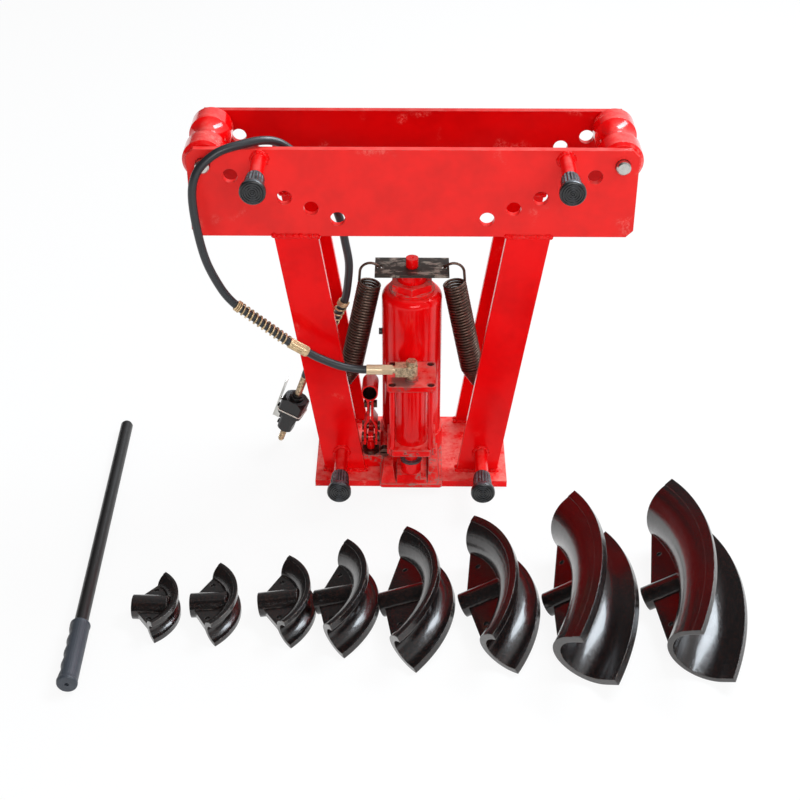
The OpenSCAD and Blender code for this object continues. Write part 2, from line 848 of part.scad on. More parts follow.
module spring_plate() {
    color(dark_steel) difference() {
        translate([-yoke_l / 2, -yoke_w / 2, yoke_z]) cube([yoke_l, yoke_w, yoke_t]);
        z_rod(0, 0, yoke_z - over, yoke_z + yoke_t + over, head_d + 2 * head_gap);
        for (side = [-1, 1])
            z_rod(side * yoke_hole_x, 0, yoke_z - over, yoke_z + yoke_t + over, yoke_hole_d);
    }
}

// Return spring on the right: hook, coils with a cone below, ring round the anchor rod
function spring_path() = concat(
    [for (angle = [180:-30:0]) [hook_x + hook_r * cos(angle), 0, hook_z + hook_r * sin(angle)]],
    coil(spring_top, spring_foot, spring_r, spring_tip_r, cone_share, spring_n, [1, 0, 0]),
    [for (angle = [180:45:450]) [anchor_x + ring_r * cos(angle), 0, anchor_z + ring_r * sin(angle)]]
);

module return_spring() {
    path = spring_path();
    echo(return_spring_self_gap = self_gap(path, spring_wire));
    color(dark_steel) swept(path, spring_wire, wire_sides);
}

module right_return_spring() return_spring();
module left_return_spring() mirror([1, 0, 0]) return_spring();

// Hand pump
module pump_barrel() {
    color(dark_steel) difference() {
        z_rod(-lever_x, plunger_y, base_t + barrel_seat, pump_block_z + barrel_h, barrel_d);
        z_rod(-lever_x, plunger_y, base_t + barrel_seat + barrel_floor, pump_block_z + barrel_h + over,
              plunger_d + 2 * run_gap);
    }
}

// Plunger with a flat round tang, slotted for the lever's pin
module pump_plunger() {
    slot_r = plunger_pin_d / 2 + slot_lift;
    color(red) difference() {
        union() {
            z_rod(-lever_x, plunger_y, base_t + plunger_lift, pivot_z - slot_r, plunger_d);
            x_rod(-lever_x - tang_t / 2, -lever_x + tang_t / 2, plunger_y, pivot_z, tang_d);
        }
        for (y = [plunger_y, plunger_y + slot_run])
            x_rod(-lever_x - tang_t, -lever_x + tang_t, y, pivot_z, 2 * slot_r);
        translate([-lever_x - tang_t, plunger_y, pivot_z - slot_r]) cube([2 * tang_t, slot_run, 2 * slot_r]);
    }
}

// Half of the lever's section: fork below, waist, flare into the socket
function strap_points() = let (
    fork = fork_gap / 2,
    waist = waist_gap / 2,
    outer = socket_bore / 2 + socket_wall,
    flare_z = socket_rise - socket_bore / 2 - flare_drop / 2
) [
    [fork, -2 * lug_r], [fork + strap_t, -2 * lug_r], [fork + strap_t, waist_low],
    [waist + strap_t, waist_high], [waist + strap_t, flare_z], [outer, socket_rise],
    [outer - strap_t, socket_rise], [waist, flare_z], [waist, waist_high], [fork, waist_low]
];

module in_lever() {
    translate([-lever_x, pivot_y, pivot_z]) rotate([-socket_tilt, 0, 0]) children();
}

// Places in the lever's own frame of the plunger's pin
module at_plunger_pin() {
    rotate([socket_tilt, 0, 0]) translate([0, -plunger_arm, 0]) children();
}

module pump_lever() {
    half = fork_gap / 2 + strap_t;
    reach = plunger_arm + lug_r;
    outer_d = socket_bore + 2 * socket_wall;
    color(red) in_lever() difference() {
        union() {
            intersection() {
                translate([0, lug_r, 0]) rotate([90, 0, 0]) linear_extrude(socket_fore + socket_l)
                    for (side = [0, 1]) mirror([side, 0]) polygon(strap_points());
                translate([-outer_d, 0, 0]) rotate([90, 0, 90]) linear_extrude(2 * outer_d) polygon([
                    [lug_r, -lug_r], [lug_r, lug_r], [-socket_fore + strap_w / 2, socket_rise],
                    [-socket_fore - strap_w / 2, socket_rise], [-reach, lug_r], [-reach, -lug_drop],
                    [-plunger_arm + lug_r, -lug_drop]
                ]);
            }
            y_rod(0, -socket_fore - socket_l / 2, -socket_fore + socket_l / 2, socket_rise, outer_d);
        }
        y_rod(0, -socket_fore - socket_l, -socket_fore + socket_l / 2 - socket_floor, socket_rise,
              socket_bore);
        x_rod(-half - over, half + over, 0, 0, pivot_d + 2 * run_gap);
        at_plunger_pin() x_rod(-half - over, half + over, 0, 0, plunger_pin_d + 2 * fit_gap);
        x_rod(-half - over, half + over, -clamp_fore, clamp_rise, clamp_d + 2 * fit_gap);
    }
}

// Pin with a cap at each end, clear of the lever by gap
module capped_pin(d, gap) {
    half = fork_gap / 2 + strap_t + gap;
    x_rod(-half, half, 0, 0, d);
    x_rod(-half - pin_cap_t, -half, 0, 0, pin_cap_d);
    x_rod(half, half + pin_cap_t, 0, 0, pin_cap_d);
}

module lever_pivot_pin() {
    color(dark_steel) in_lever() capped_pin(pivot_d, move_gap);
}

module plunger_pin() {
    color(dark_steel) in_lever() at_plunger_pin() capped_pin(plunger_pin_d, 0);
}

module lever_clamp_bolt() {
    half = waist_gap / 2 + strap_t;
    color(dark_steel) in_lever() translate([0, -clamp_fore, clamp_rise]) {
        x_rod(-half, half, 0, 0, clamp_d);
        for (side = [-1, 1]) translate([side * half, 0, 0]) rotate([0, side * 90, 0])
            hexagon(clamp_head_d, clamp_head_t);
    }
}

// Air pump
module at_ties() {
    for (sx = [-1, 1], sy = [-1, 1])
        translate([sx * tie_pitch / 2, -pump_fore + sy * tie_pitch / 2, 0]) children();
}

module air_pump_neck() {
    color(red) difference() {
        union() {
            z_rod(0, -pump_fore, neck_z, flange_z, neck_d);
            z_rod(0, -pump_fore, neck_z, neck_z + neck_collar_l, neck_collar_d);
        }
        z_rod(0, -pump_fore, neck_z + air_rod_foot, flange_z + over, neck_bore_d);
    }
}

module neck_seal() {
    seal_z = neck_z + neck_collar_l;
    color(rubber) difference() {
        z_rod(0, -pump_fore, seal_z, seal_z + neck_seal_h, neck_seal_d);
        z_rod(0, -pump_fore, seal_z - over, seal_z + neck_seal_h + over, neck_d + 2 * fit_gap);
    }
}

module air_pump_flange() {
    x = pump_w / 2;
    y = pump_deep / 2;
    color(red) difference() {
        translate([0, -pump_fore, flange_z]) linear_extrude(flange_t) polygon([
            [-x + flange_cut, -y], [x - flange_cut, -y], [x, -y + flange_cut],
            [x, y], [-x, y], [-x, -y + flange_cut]
        ]);
        z_rod(0, -pump_fore, flange_z - over, air_z + over, air_rod_d + 2 * run_gap);
        at_ties() z_rod(0, 0, flange_z - over, air_z + over, tie_d + 2 * fit_gap);
        for (side = [-1, 1])
            y_rod(side * port_pitch / 2, -pump_fore - y - over, -pump_fore - y + port_deep,
                  flange_z + flange_t / 2, port_d);
    }
}

module air_pump_cylinder() {
    color(red) difference() {
        z_rod(0, -pump_fore, air_z, top_z, air_d);
        z_rod(0, -pump_fore, air_z - over, top_z + over, air_d - 2 * air_wall);
    }
}

module air_pump_top_plate() {
    color(red) difference() {
        union() {
            translate([0, -pump_fore, top_z]) linear_extrude(top_t)
                round_rect(pump_w, pump_deep, plate_round);
            z_rod(0, banjo_y, top_z, pump_top_z + boss_h, boss_d);
        }
        at_ties() {
            z_rod(0, 0, top_z - over, pump_top_z + over, tie_d + 2 * fit_gap);
            z_rod(0, 0, pump_top_z - tie_recess, pump_top_z + over, tie_recess_d);
        }
        z_rod(0, banjo_y, pump_top_z - bolt_deep, pump_top_z + boss_h + over, banjo_d + 2 * fit_gap);
    }
}

module air_pump_tie_bolts() {
    seat = pump_top_z - tie_recess;
    color(red) at_ties() difference() {
        union() {
            z_rod(0, 0, flange_z, seat, tie_d);
            z_rod(0, 0, seat, seat + tie_head_h, tie_head_d);
        }
        translate([0, 0, seat + tie_head_h / 2]) hexagon(tie_head_d / 2, tie_head_h);
    }
}

module air_piston() {
    color(steel) {
        z_rod(0, -pump_fore, air_piston_z, air_piston_z + air_piston_h, air_d - 2 * air_wall - 2 * run_gap);
        z_rod(0, -pump_fore, flange_z - air_rod_foot, air_piston_z, air_rod_d);
    }
}

// Room of the coil that lifts the air piston
module air_pump_spring() {
    color(dark_steel) difference() {
        z_rod(0, -pump_fore, air_z, air_piston_z - move_gap, air_spring_d);
        z_rod(0, -pump_fore, air_z - over, air_piston_z + over, air_spring_bore);
    }
}

module banjo_bolt() {
    color(zinc) {
        z_rod(0, banjo_y, pump_top_z - bolt_deep, banjo_z + banjo_s, banjo_d);
        translate([0, banjo_y, banjo_z + banjo_s]) hexagon(bolt_head_af, bolt_head_h);
        z_rod(0, banjo_y, pump_top_z + boss_h, banjo_z, banjo_d + boss_h);
    }
}

// Swivel block with the ferrule that grips the hose
module banjo_fitting() {
    color(zinc) difference() {
        union() {
            z_rod(0, banjo_y, banjo_z, banjo_z + banjo_s, 2 * banjo_r);
            translate([-banjo_l, banjo_y - banjo_s / 2, banjo_z]) cube([banjo_l, banjo_s, banjo_s]);
            x_rod(-banjo_l - ferrule_l, -banjo_l - crimp_l, banjo_y, banjo_z + banjo_s / 2, ferrule_d);
            x_rod(-banjo_l - crimp_l, -banjo_l, banjo_y, banjo_z + banjo_s / 2, crimp_neck_d);
            translate([-banjo_l - crimp_l, banjo_y, banjo_z + banjo_s / 2]) rotate([0, 90, 0])
                hexagon(crimp_af, crimp_l - crimp_neck_l);
        }
        z_rod(0, banjo_y, banjo_z - over, banjo_z + banjo_s + over, banjo_d + 2 * fit_gap);
    }
}

// Air line
module air_hose() {
    color(rubber) swept(hose_points, hose_d, hose_sides);
}

// Tube of one sleeve from a to b
module sleeve(ends) {
    axis = ends[1] - ends[0];
    l = norm(axis);
    translate(ends[0]) rotate([0, acos(axis[2] / l), atan2(axis[1], axis[0])]) difference() {
        cylinder(h = l, d = sleeve_d);
        translate([0, 0, -over]) cylinder(h = l + 2 * over, d = hose_d + 2 * fit_gap);
    }
}

module hose_sleeves() {
    color(zinc) {
        sleeve(upper_sleeve);
        sleeve(lower_sleeve);
    }
}

// Guard spring between two points of the hose, clear of the sleeve by the inset
module guard(ends) {
    axis = unit(ends[1] - ends[0]);
    inset = guard_inset * axis;
    path = coil(ends[0] + inset, ends[1] - inset, guard_r, guard_r, 1, guard_n, [0, 1, 0]);
    echo(guard_spring_self_gap = self_gap(path, guard_wire));
    swept(path, guard_wire, wire_sides);
}

module hose_guard_springs() {
    color(zinc) {
        guard(upper_guard);
        guard(lower_guard);
    }
}

// Control valve in its own frame: Z from the nipple's mouth up to the hose, the lever at -X
module in_valve() {
    translate(valve_foot) rotate([0, valve_tilt, valve_swing]) children();
}

module valve_nipple() {
    color(zinc) in_valve() z_rod(0, 0, 0, nipple_l, nipple_d);
}

// Block of the valve, w by deep, with round corners and bevelled ends
module valve_block(w, deep, h) {
    r = valve_corner_share * w / 2;
    intersection() {
        rotate_extrude() polygon([
            [0, 0], [r - valve_round, 0], [r, valve_round],
            [r, h - valve_round], [r - valve_round, h], [0, h]
        ]);
        translate([-w / 2, -deep / 2, 0]) cube([w, deep, h]);
    }
}

module valve_body() {
    head_z = nipple_l + valve_l;
    collar_z = head_z + valve_head_l;
    color(black_iron) in_valve() difference() {
        union() {
            translate([0, 0, nipple_l]) valve_block(valve_d, valve_d, valve_l + valve_round);
            translate([0, 0, head_z]) valve_block(valve_head_w, valve_head_deep, valve_head_l);
            upright(valve_rib_w / 2, valve_rib_w) polygon([
                [0, head_z - valve_rib_l], [valve_d / 2, head_z - valve_rib_l],
                [(valve_head_w - valve_round) / 2, head_z + valve_round], [0, head_z + valve_round]
            ]);
            z_rod(0, 0, collar_z, collar_z + valve_collar_step, valve_collar_d);
            z_rod(0, 0, collar_z, collar_z + valve_collar_l, valve_neck_d);
            translate([trigger_x + lug_in, -lug_w / 2, trigger_z - lug_h / 2])
                cube([-trigger_x - lug_in, lug_w, lug_h]);
            x_rod(-valve_d / 2 - stem_out, 0, 0, nipple_l + stem_rise, stem_d);
        }
        y_rod(trigger_x + trigger_foot, -lug_w, lug_w, trigger_z, trigger_pin_d + 2 * run_gap);
        x_rod(-valve_head_w / 2 - over, -valve_head_w / 2 + button_deep + button_room,
              0, trigger_z + button_rise, button_d + 2 * run_gap);
    }
}

module valve_tube() {
    tube_z = nipple_l + valve_l + valve_head_l + valve_collar_l;
    color(zinc) in_valve() z_rod(0, 0, tube_z, tube_z + valve_tube_l, valve_tube_d);
}

// Channel-shaped lever, deep at its pin through the body's lug
module valve_lever() {
    tab_y = lug_w / 2 + move_gap;
    back = trigger_x - move_gap - trigger_t;
    deep = trigger_x + trigger_foot + cheek_deep;
    foot = trigger_z - lug_h / 2;
    color(steel) in_valve() {
        translate([back, -trigger_w / 2, foot]) cube([trigger_t, trigger_w, trigger_l]);
        for (side = [0, 1]) mirror([0, side, 0]) upright(tab_y + tab_t, tab_t) polygon([
            [back, foot], [deep, foot], [deep, foot + cheek_l],
            [back + trigger_t, foot + cheek_l + cheek_taper], [back, foot + cheek_l + cheek_taper]
        ]);
        y_rod(trigger_x + trigger_foot, -tab_y - tab_t, tab_y + tab_t, trigger_z, trigger_pin_d);
    }
}

module valve_button() {
    color(steel) in_valve()
        x_rod(trigger_x, -valve_head_w / 2 + button_deep, 0, trigger_z + button_rise, button_d);
}

// Handle, lying on its tip and on the inner end of its grip
module on_handle() {
    translate([handle_at[0], handle_at[1], bar_d / 2 * cos(handle_pitch)])
        rotate([0, 0, handle_swing]) rotate([-handle_pitch, 0, 0]) children();
}

module handle_bar() {
    color(black_iron) on_handle() rotate([90, 0, 0]) rotate_extrude() polygon([
        [0, 0], [bar_d / 2 - bar_nose / 2, 0], [bar_d / 2, bar_nose],
        [bar_d / 2, handle_l - grip_end], [0, handle_l - grip_end]
    ]);
}

module handle_grip() {
    color(slate) on_handle() difference() {
        y_rod(0, -handle_l, -handle_l + grip_l, 0, grip_d);
        y_rod(0, -handle_l + grip_end, -handle_l + grip_l + over, 0, bar_d + 2 * fit_gap);
        y_rod(0, -handle_l - over, -handle_l + grip_end + over, 0, grip_hole_d);
        for (i = [1:finger_n])
            translate([finger_x, i * grip_l / (finger_n + 1) - handle_l, -grip_d])
                cylinder(h = 2 * grip_d, d = finger_w);
    }
}

// Die in its own frame: arc centre at the origin, groove towards +X, web in the XY plane
module die_shape(pipe_d, bend_r, half_w, half_arc, lip, stub_l, stub_free) {
    wall = half_w - pipe_d / 2;
    web_r = bend_r - half_w + wall / 2;
    web_end = web_r * [cos(half_arc), sin(half_arc)];
    stub_x = bend_r * cos(half_arc) - stub_l;
    edge_x = stub_x + stub_free;
    hole_y = (stub_d / 2 + web_end[1]) / 2;
    hole_at = ((edge_x + web_end[0]) / 2 + sqrt(pow(bend_r - half_w, 2) - hole_y * hole_y)) / 2;
    difference() {
        union() {
            rotate([0, 0, -half_arc]) rotate_extrude(angle = 2 * half_arc, $fn = 180) difference() {
                union() {
                    intersection() {
                        translate([bend_r, 0]) circle(half_w);
                        translate([bend_r - half_w, -half_w]) square([half_w, 2 * half_w]);
                    }
                    if (lip > 0) translate([bend_r, -half_w]) square([lip, 2 * half_w]);
                }
                translate([bend_r, 0]) circle(pipe_d / 2);
                if (lip > 0) translate([bend_r, -pipe_d / 2]) square([half_w, pipe_d]);
            }
            translate([0, 0, -web_t / 2]) linear_extrude(web_t) polygon(concat(
                [[edge_x, stub_d / 2], [edge_x, -stub_d / 2]],
                [for (k = [-web_steps:web_steps]) let (a = half_arc * k / web_steps)
                    web_r * [cos(a), sin(a)]]
            ));
            x_rod(stub_x, web_r, 0, 0, stub_d);
        }
        x_rod(stub_x - over, stub_x + socket_deep, 0, 0, head_d + 2 * head_gap);
        for (side = [-1, 1]) z_rod(hole_at, side * hole_y, -web_t, web_t, web_hole_d);
    }
}

// Lean of a die that lies on the round backs of its two ends and on the end of its stub
function die_lean(w, arc, stub_l) = let (
    r = stub_d / 2,
    a = pow(w * cos(arc), 2) - stub_l * stub_l,
    b = r * stub_l,
    c = w * w - r * r
) atan(c / (b + sqrt(b * b - a * c)));

module die(i) {
    lean = die_lean(die_half_w[i], die_half_arc[i], die_stub_l[i]);
    chord_x = die_bend_r[i] * cos(die_half_arc[i]);
    back = die_half_w[i] * norm([cos(die_half_arc[i]) * sin(lean), cos(lean)]);
    color(black_iron)
        translate([row_l * die_x_shares[i], -row_fore * die_y_shares[i], back - chord_x * sin(lean)])
        rotate([0, -lean, die_swing[i]])
        die_shape(die_pipe_d[i], die_bend_r[i], die_half_w[i], die_half_arc[i], die_lip[i],
                  die_stub_l[i], die_stub_free[i]);
}

module die_1() die(0);
module die_2() die(1);
module die_3() die(2);
module die_4() die(3);
module die_5() die(4);
module die_6() die(5);
module die_7() die(6);
module die_8() die(7);

base_plate();
front_side_plate();
rear_side_plate();
front_left_leg();
front_right_leg();
rear_left_leg();
rear_right_leg();
support_pegs();
peg_caps();
spring_anchor_rods();
left_roller();
right_roller();
left_roller_pin();
right_roller_pin();
jack_base();
jack_reservoir();
jack_cylinder();
gland_nut();
filler_plug();
release_valve();
ram();
ram_seal();
spring_plate();
left_return_spring();
right_return_spring();
pump_barrel();
pump_plunger();
pump_lever();
lever_pivot_pin();
plunger_pin();
lever_clamp_bolt();
air_pump_neck();
neck_seal();
air_pump_flange();
air_pump_cylinder();
air_pump_top_plate();
air_pump_tie_bolts();
air_piston();
air_pump_spring();
banjo_bolt();
banjo_fitting();
air_hose();
hose_sleeves();
hose_guard_springs();
valve_tube();
valve_body();
valve_nipple();
valve_lever();
valve_button();
handle_bar();
handle_grip();
die_1();
die_2();
die_3();
die_4();
die_5();
die_6();
die_7();
die_8();
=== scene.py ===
"""Looks of an air-over-hydraulic pipe bender: frame, jack, air line and the dies in front of it."""

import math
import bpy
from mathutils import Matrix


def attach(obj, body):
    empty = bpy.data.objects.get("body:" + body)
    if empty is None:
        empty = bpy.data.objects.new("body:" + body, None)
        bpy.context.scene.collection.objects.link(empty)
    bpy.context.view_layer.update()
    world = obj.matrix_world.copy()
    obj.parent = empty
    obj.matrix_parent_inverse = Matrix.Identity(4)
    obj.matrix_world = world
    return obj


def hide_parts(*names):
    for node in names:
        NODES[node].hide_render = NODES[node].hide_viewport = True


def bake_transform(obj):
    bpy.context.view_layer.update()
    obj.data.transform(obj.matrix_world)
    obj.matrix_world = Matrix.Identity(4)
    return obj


bl_info = {
    "name": "Hydraulic pipe bender",
    "version": (1, 0, 0),
    "blender": (4, 5, 0),
    "location": "View3D > Sidebar > Bender",
    "description": "Dresses the packed pipe bender: paint, castings, springs, hose, caps and welds",
    "category": "Object",
}

import bmesh
import bpy
from mathutils import Euler, Matrix, Vector

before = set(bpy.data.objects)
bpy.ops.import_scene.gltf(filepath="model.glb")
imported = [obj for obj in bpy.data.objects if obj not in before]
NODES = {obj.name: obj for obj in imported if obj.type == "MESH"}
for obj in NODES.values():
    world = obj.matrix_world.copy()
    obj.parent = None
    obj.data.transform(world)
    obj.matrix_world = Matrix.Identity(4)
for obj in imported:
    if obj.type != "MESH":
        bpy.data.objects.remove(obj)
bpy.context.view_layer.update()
MM = 0.001


def srgb(red, green, blue):
    """Colour as seen on a screen, 0 to 255, in Blender's linear values."""
    shares = (red / 255, green / 255, blue / 255)
    return tuple(c / 12.92 if c <= 0.04045 else ((c + 0.055) / 1.055) ** 2.4 for c in shares)


def colour(name, text, red, green, blue):
    return bpy.props.FloatVectorProperty(
        name=name, description=text, subtype="COLOR", size=3, min=0, max=1, default=srgb(red, green, blue)
    )


def length(name, text, value):
    return bpy.props.FloatProperty(
        name=name, description=text, default=value, min=0, unit="LENGTH", precision=4
    )


def count(name, text, value):
    return bpy.props.IntProperty(name=name, description=text, default=value, min=1)


def amount(name, text, value):
    return bpy.props.FloatProperty(
        name=name, description=text, default=value, min=0, soft_max=1, subtype="FACTOR"
    )


def number(name, text, value, least=0):
    return bpy.props.FloatProperty(name=name, description=text, default=value, min=least)


class BenderFinishes(bpy.types.PropertyGroup):
    """Colours of the paint, metals and rubbers."""

    red: colour("Red paint", "Gloss paint on the frame, the jack and the pumps", 241, 4, 8)
    deep_red: colour("Thick red paint", "Darker red where the paint is thick", 221, 1, 5)
    primer: colour("Worn paint", "Grey film that shows where the paint is rubbed off", 150, 128, 120)
    # Also laid as painted shade on the tie bolts' heads in their recesses.
    grime: colour("Grime", "Oily dirt on the jack's lever and castings", 58, 34, 30)
    # Painted shade: this grey is laid round the banjo bolt on the air pump's top plate.
    film: colour("Grey film", "Oily grey film round the banjo bolt", 108, 86, 80)
    # Also painted sheen: level faces and the front plate are paled with it for the light they catch, besides
    # real dust and scuffs.
    dust: colour("Dust", "Pale dust that settles on level faces", 244, 150, 138)
    iron: colour("Black castings", "Gloss black of the bending dies", 12, 12, 13)
    iron_worn: colour("Worn castings", "Rust brown on the castings' high spots", 52, 30, 25)
    steel: colour("Bright steel", "Turned roller pins and valve lever", 206, 205, 200)
    dark_steel: colour("Dark steel", "Springs, bolts and pins", 112, 92, 82)
    plate_steel: colour("Plate steel", "Scratched spring plate", 158, 146, 134)
    zinc: colour("Yellow zinc", "Plated sleeves and guards of the air line", 232, 202, 158)
    stained_zinc: colour("Stained zinc", "Browned banjo fitting, tube and nipple", 226, 198, 162)
    rubber: colour("Black rubber", "Peg caps and seals", 30, 31, 33)
    # Painted highlight on the faces of the peg caps that look up.
    cap_dust: colour("Cap dust", "Grey dust on the peg caps' collars", 122, 128, 136)
    hose: colour("Hose rubber", "Cover of the air hose", 34, 37, 41)
    slate: colour("Grip rubber", "Grip of the pump handle", 58, 63, 71)
    black_paint: colour("Black paint", "Handle bar and valve body", 20, 18, 18)
    band: colour("Band", "Pale wire band round the valve", 226, 220, 208)


class BenderSizes(bpy.types.PropertyGroup):
    """Sizes of the soft, wound and welded pieces."""

    hose_d: length("Hose", "Outer diameter of the air hose", 0.012)
    spring_wire: length("Return spring wire", "Diameter of the return springs' wire", 0.0041)
    spring_turns: count("Return spring turns", "Turns of each return spring", 38)
    guard_wire: length("Guard wire", "Diameter of the hose guards' wire", 0.0026)
    guard_turns: count("Guard turns", "Turns of each hose guard", 14)
    cap_ribs: count("Cap ribs", "Ribs round the neck of a peg cap", 16)
    sleeve_flutes: count("Sleeve flutes", "Flutes round a hose sleeve", 15)
    rim_rise: length("Die rim", "Height of the raised rim along a die's upper lip", 0.0009)
    weld_width: length("Weld bead", "Width of a weld bead", 0.0075)
    weld_step: length("Weld ripple", "Distance between the ripples of a bead", 0.0028)


class BenderStage(bpy.types.PropertyGroup):
    """Camera, lamps and floor."""

    lens: number("Lens", "Focal length in millimetres", 68.44, least=1)
    eye: bpy.props.FloatVectorProperty(
        name="Eye", description="Where the camera stands", size=3, subtype="TRANSLATION",
        default=(-0.00097, -1.9755, 1.43099))
    aim: bpy.props.FloatVectorProperty(
        name="Aim", description="How the camera is turned", size=3, subtype="EULER",
        default=(math.radians(55.94), 0, math.radians(0.49)))
    floor: colour("Floor", "Pale floor under the bender", 236, 236, 236)
    floor_glow: amount("Floor white", "How far the floor is seen as plain white", 0.9)
    sky: number("Room light", "Even light from all round", 0.42)
    dim: number("Dim side", "How bright reflections see the room on the camera's side", 0.06)
    bright: number("Bright side", "How bright reflections see the room on the window's side", 0.7)
    window: number("Window", "Lamp at the back right, in watts", 104)
    daylight: colour("Daylight", "Colour of the window's light", 236, 246, 255)
    ceiling: number("Ceiling", "Lamp overhead, in watts", 5)
    front: number("Front", "Lamp beside the camera, in watts", 45)


def finishes():
    return bpy.context.scene.bender_finishes


def sizes():
    return bpy.context.scene.bender_sizes


# Nodes


def put(tree, kind, ins=None, **settings):
    """Adds a node, sets it, and links or fills its inputs."""
    made = tree.nodes.new(kind)
    for key, value in settings.items():
        setattr(made, key, value)
    for key, value in (ins or {}).items():
        if isinstance(value, bpy.types.NodeSocket):
            tree.links.new(value, made.inputs[key])
        else:
            made.inputs[key].default_value = value
    return made


def maths(tree, operation, *values, clamp=False):
    ins = dict(enumerate(values))
    return put(tree, "ShaderNodeMath", ins, operation=operation, use_clamp=clamp).outputs[0]


def vectors(tree, operation, *values):
    """Sum of vectors, or the number that an operation makes of them."""
    made = put(tree, "ShaderNodeVectorMath", dict(enumerate(values)), operation=operation)
    return made.outputs["Value" if operation in ("DOT_PRODUCT", "DISTANCE", "LENGTH") else "Vector"]


def own_place(tree):
    """Where a point lies, in the piece's own coordinates."""
    return put(tree, "ShaderNodeTexCoord").outputs["Object"]


def part_of(tree, vector, axis):
    return put(tree, "ShaderNodeSeparateXYZ", {0: vector}).outputs[axis]


def ramp(tree, value, low, high, out_low=0.0, out_high=1.0):
    """Smooth step of a value between two limits."""
    ins = {"Value": value, "From Min": low, "From Max": high, "To Min": out_low, "To Max": out_high}
    return put(tree, "ShaderNodeMapRange", ins, interpolation_type="SMOOTHSTEP").outputs["Result"]


def blend_colour(tree, factor, under, over):
    made = put(tree, "ShaderNodeMix", data_type="RGBA")
    sockets = {"Factor": made.inputs[0], "A": made.inputs[6], "B": made.inputs[7]}
    for key, value in (("Factor", factor), ("A", under), ("B", over)):
        if isinstance(value, bpy.types.NodeSocket):
            tree.links.new(value, sockets[key])
        elif key == "Factor":
            sockets[key].default_value = value
        else:
            sockets[key].default_value = (*value, 1)
    return made.outputs[2]


def cloud(tree, scale, detail=4.0, roughness=0.6, stretch=None):
    """Noise in the piece's own coordinates."""
    place = own_place(tree)
    if stretch:
        place = put(tree, "ShaderNodeMapping", {"Vector": place, "Scale": stretch}).outputs[0]
    made = put(tree, "ShaderNodeTexNoise", {"Vector": place, "Detail": detail, "Roughness": roughness})
    if isinstance(scale, bpy.types.NodeSocket):
        tree.links.new(scale, made.inputs["Scale"])
    else:
        made.inputs["Scale"].default_value = scale
    return made.outputs[0]


def shader_group(name, inputs, output, build):
    """Effect shared by several finishes, built once."""
    found = bpy.data.node_groups.get(name)
    if found:
        return found
    tree = bpy.data.node_groups.new(name, "ShaderNodeTree")
    for label, value in inputs:
        socket = tree.interface.new_socket(label, in_out="INPUT", socket_type="NodeSocketFloat")
        socket.default_value = value
    tree.interface.new_socket(output, in_out="OUTPUT", socket_type="NodeSocketFloat")
    entry = put(tree, "NodeGroupInput")
    put(tree, "NodeGroupOutput", {output: build(tree, entry.outputs)})
    return tree


def edge_wear():
    """Mask of rubbed edges: where the rounded normal leaves the face's own."""

    def build(tree, ins):
        rounded = put(tree, "ShaderNodeBevel", {"Radius": ins["Width"]}, samples=6).outputs[0]
        own = put(tree, "ShaderNodeNewGeometry").outputs["Normal"]
        turned_off = maths(tree, "SUBTRACT", 1.0, vectors(tree, "DOT_PRODUCT", rounded, own))
        edge = ramp(tree, turned_off, 0.02, 0.16)
        patch = ramp(tree, cloud(tree, ins["Patch Scale"], 6.0, 0.7), ins["Patch Low"], ins["Patch High"])
        return maths(tree, "MULTIPLY", maths(tree, "MULTIPLY", edge, patch), ins["Amount"], clamp=True)

    return shader_group("edge_wear", [("Width", 0.0012), ("Amount", 1.0), ("Patch Scale", 60.0),
                                      ("Patch Low", 0.4), ("Patch High", 0.6)], "Mask", build)


def rubbed_patches():
    """Mask of scuffs spread over a face."""

    def build(tree, ins):
        high = maths(tree, "ADD", ins["Low"], 0.12)
        broad = ramp(tree, cloud(tree, ins["Broad Scale"], 2.0), ins["Low"], high)
        fine = ramp(tree, cloud(tree, ins["Fine Scale"], 8.0, 0.75), 0.46, 0.6)
        return maths(tree, "MULTIPLY", maths(tree, "MULTIPLY", broad, fine), ins["Amount"], clamp=True)

    return shader_group("rubbed_patches", [("Broad Scale", 9.0), ("Fine Scale", 120.0), ("Low", 0.58),
                                           ("Amount", 1.0)], "Mask", build)


def settled_dust():
    """Mask of faces that look up, for dust and painted sheen."""

    def build(tree, ins):
        normal = put(tree, "ShaderNodeNewGeometry").outputs["Normal"]
        level = ramp(tree, part_of(tree, normal, "Z"), 0.75, 0.98)
        patch = ramp(tree, cloud(tree, ins["Scale"], 8.0, 0.7), 0.3, 0.75)
        return maths(tree, "MULTIPLY", maths(tree, "MULTIPLY", level, patch), ins["Amount"], clamp=True)

    return shader_group("settled_dust", [("Scale", 40.0), ("Amount", 0.5)], "Mask", build)


def skin():
    """Height of a sprayed, cast or moulded skin: fine grain on soft waves."""

    def build(tree, ins):
        waves = maths(tree, "MULTIPLY", cloud(tree, ins["Wave Scale"], 2.0), ins["Waves"])
        grain = maths(tree, "MULTIPLY", cloud(tree, ins["Grain Scale"], 5.0, 0.65), ins["Grain"])
        return maths(tree, "ADD", waves, grain)

    inputs = [("Wave Scale", 60.0), ("Waves", 0.5), ("Grain Scale", 500.0), ("Grain", 0.5)]
    return shader_group("skin", inputs, "Height", build)


def use(tree, group, **ins):
    """Places a shared effect with its own values."""
    made = put(tree, "ShaderNodeGroup", node_tree=group)
    for key, value in ins.items():
        made.inputs[key.replace("_", " ").title()].default_value = value
    return made.outputs[0]


def rub_edges(tree, paint, under, width, amount, patch_scale, low, high):
    """Shows what lies under a paint along its rubbed edges."""
    worn = use(tree, edge_wear(), width=width, amount=amount, patch_scale=patch_scale,
               patch_low=low, patch_high=high)
    return blend_colour(tree, worn, paint, under)


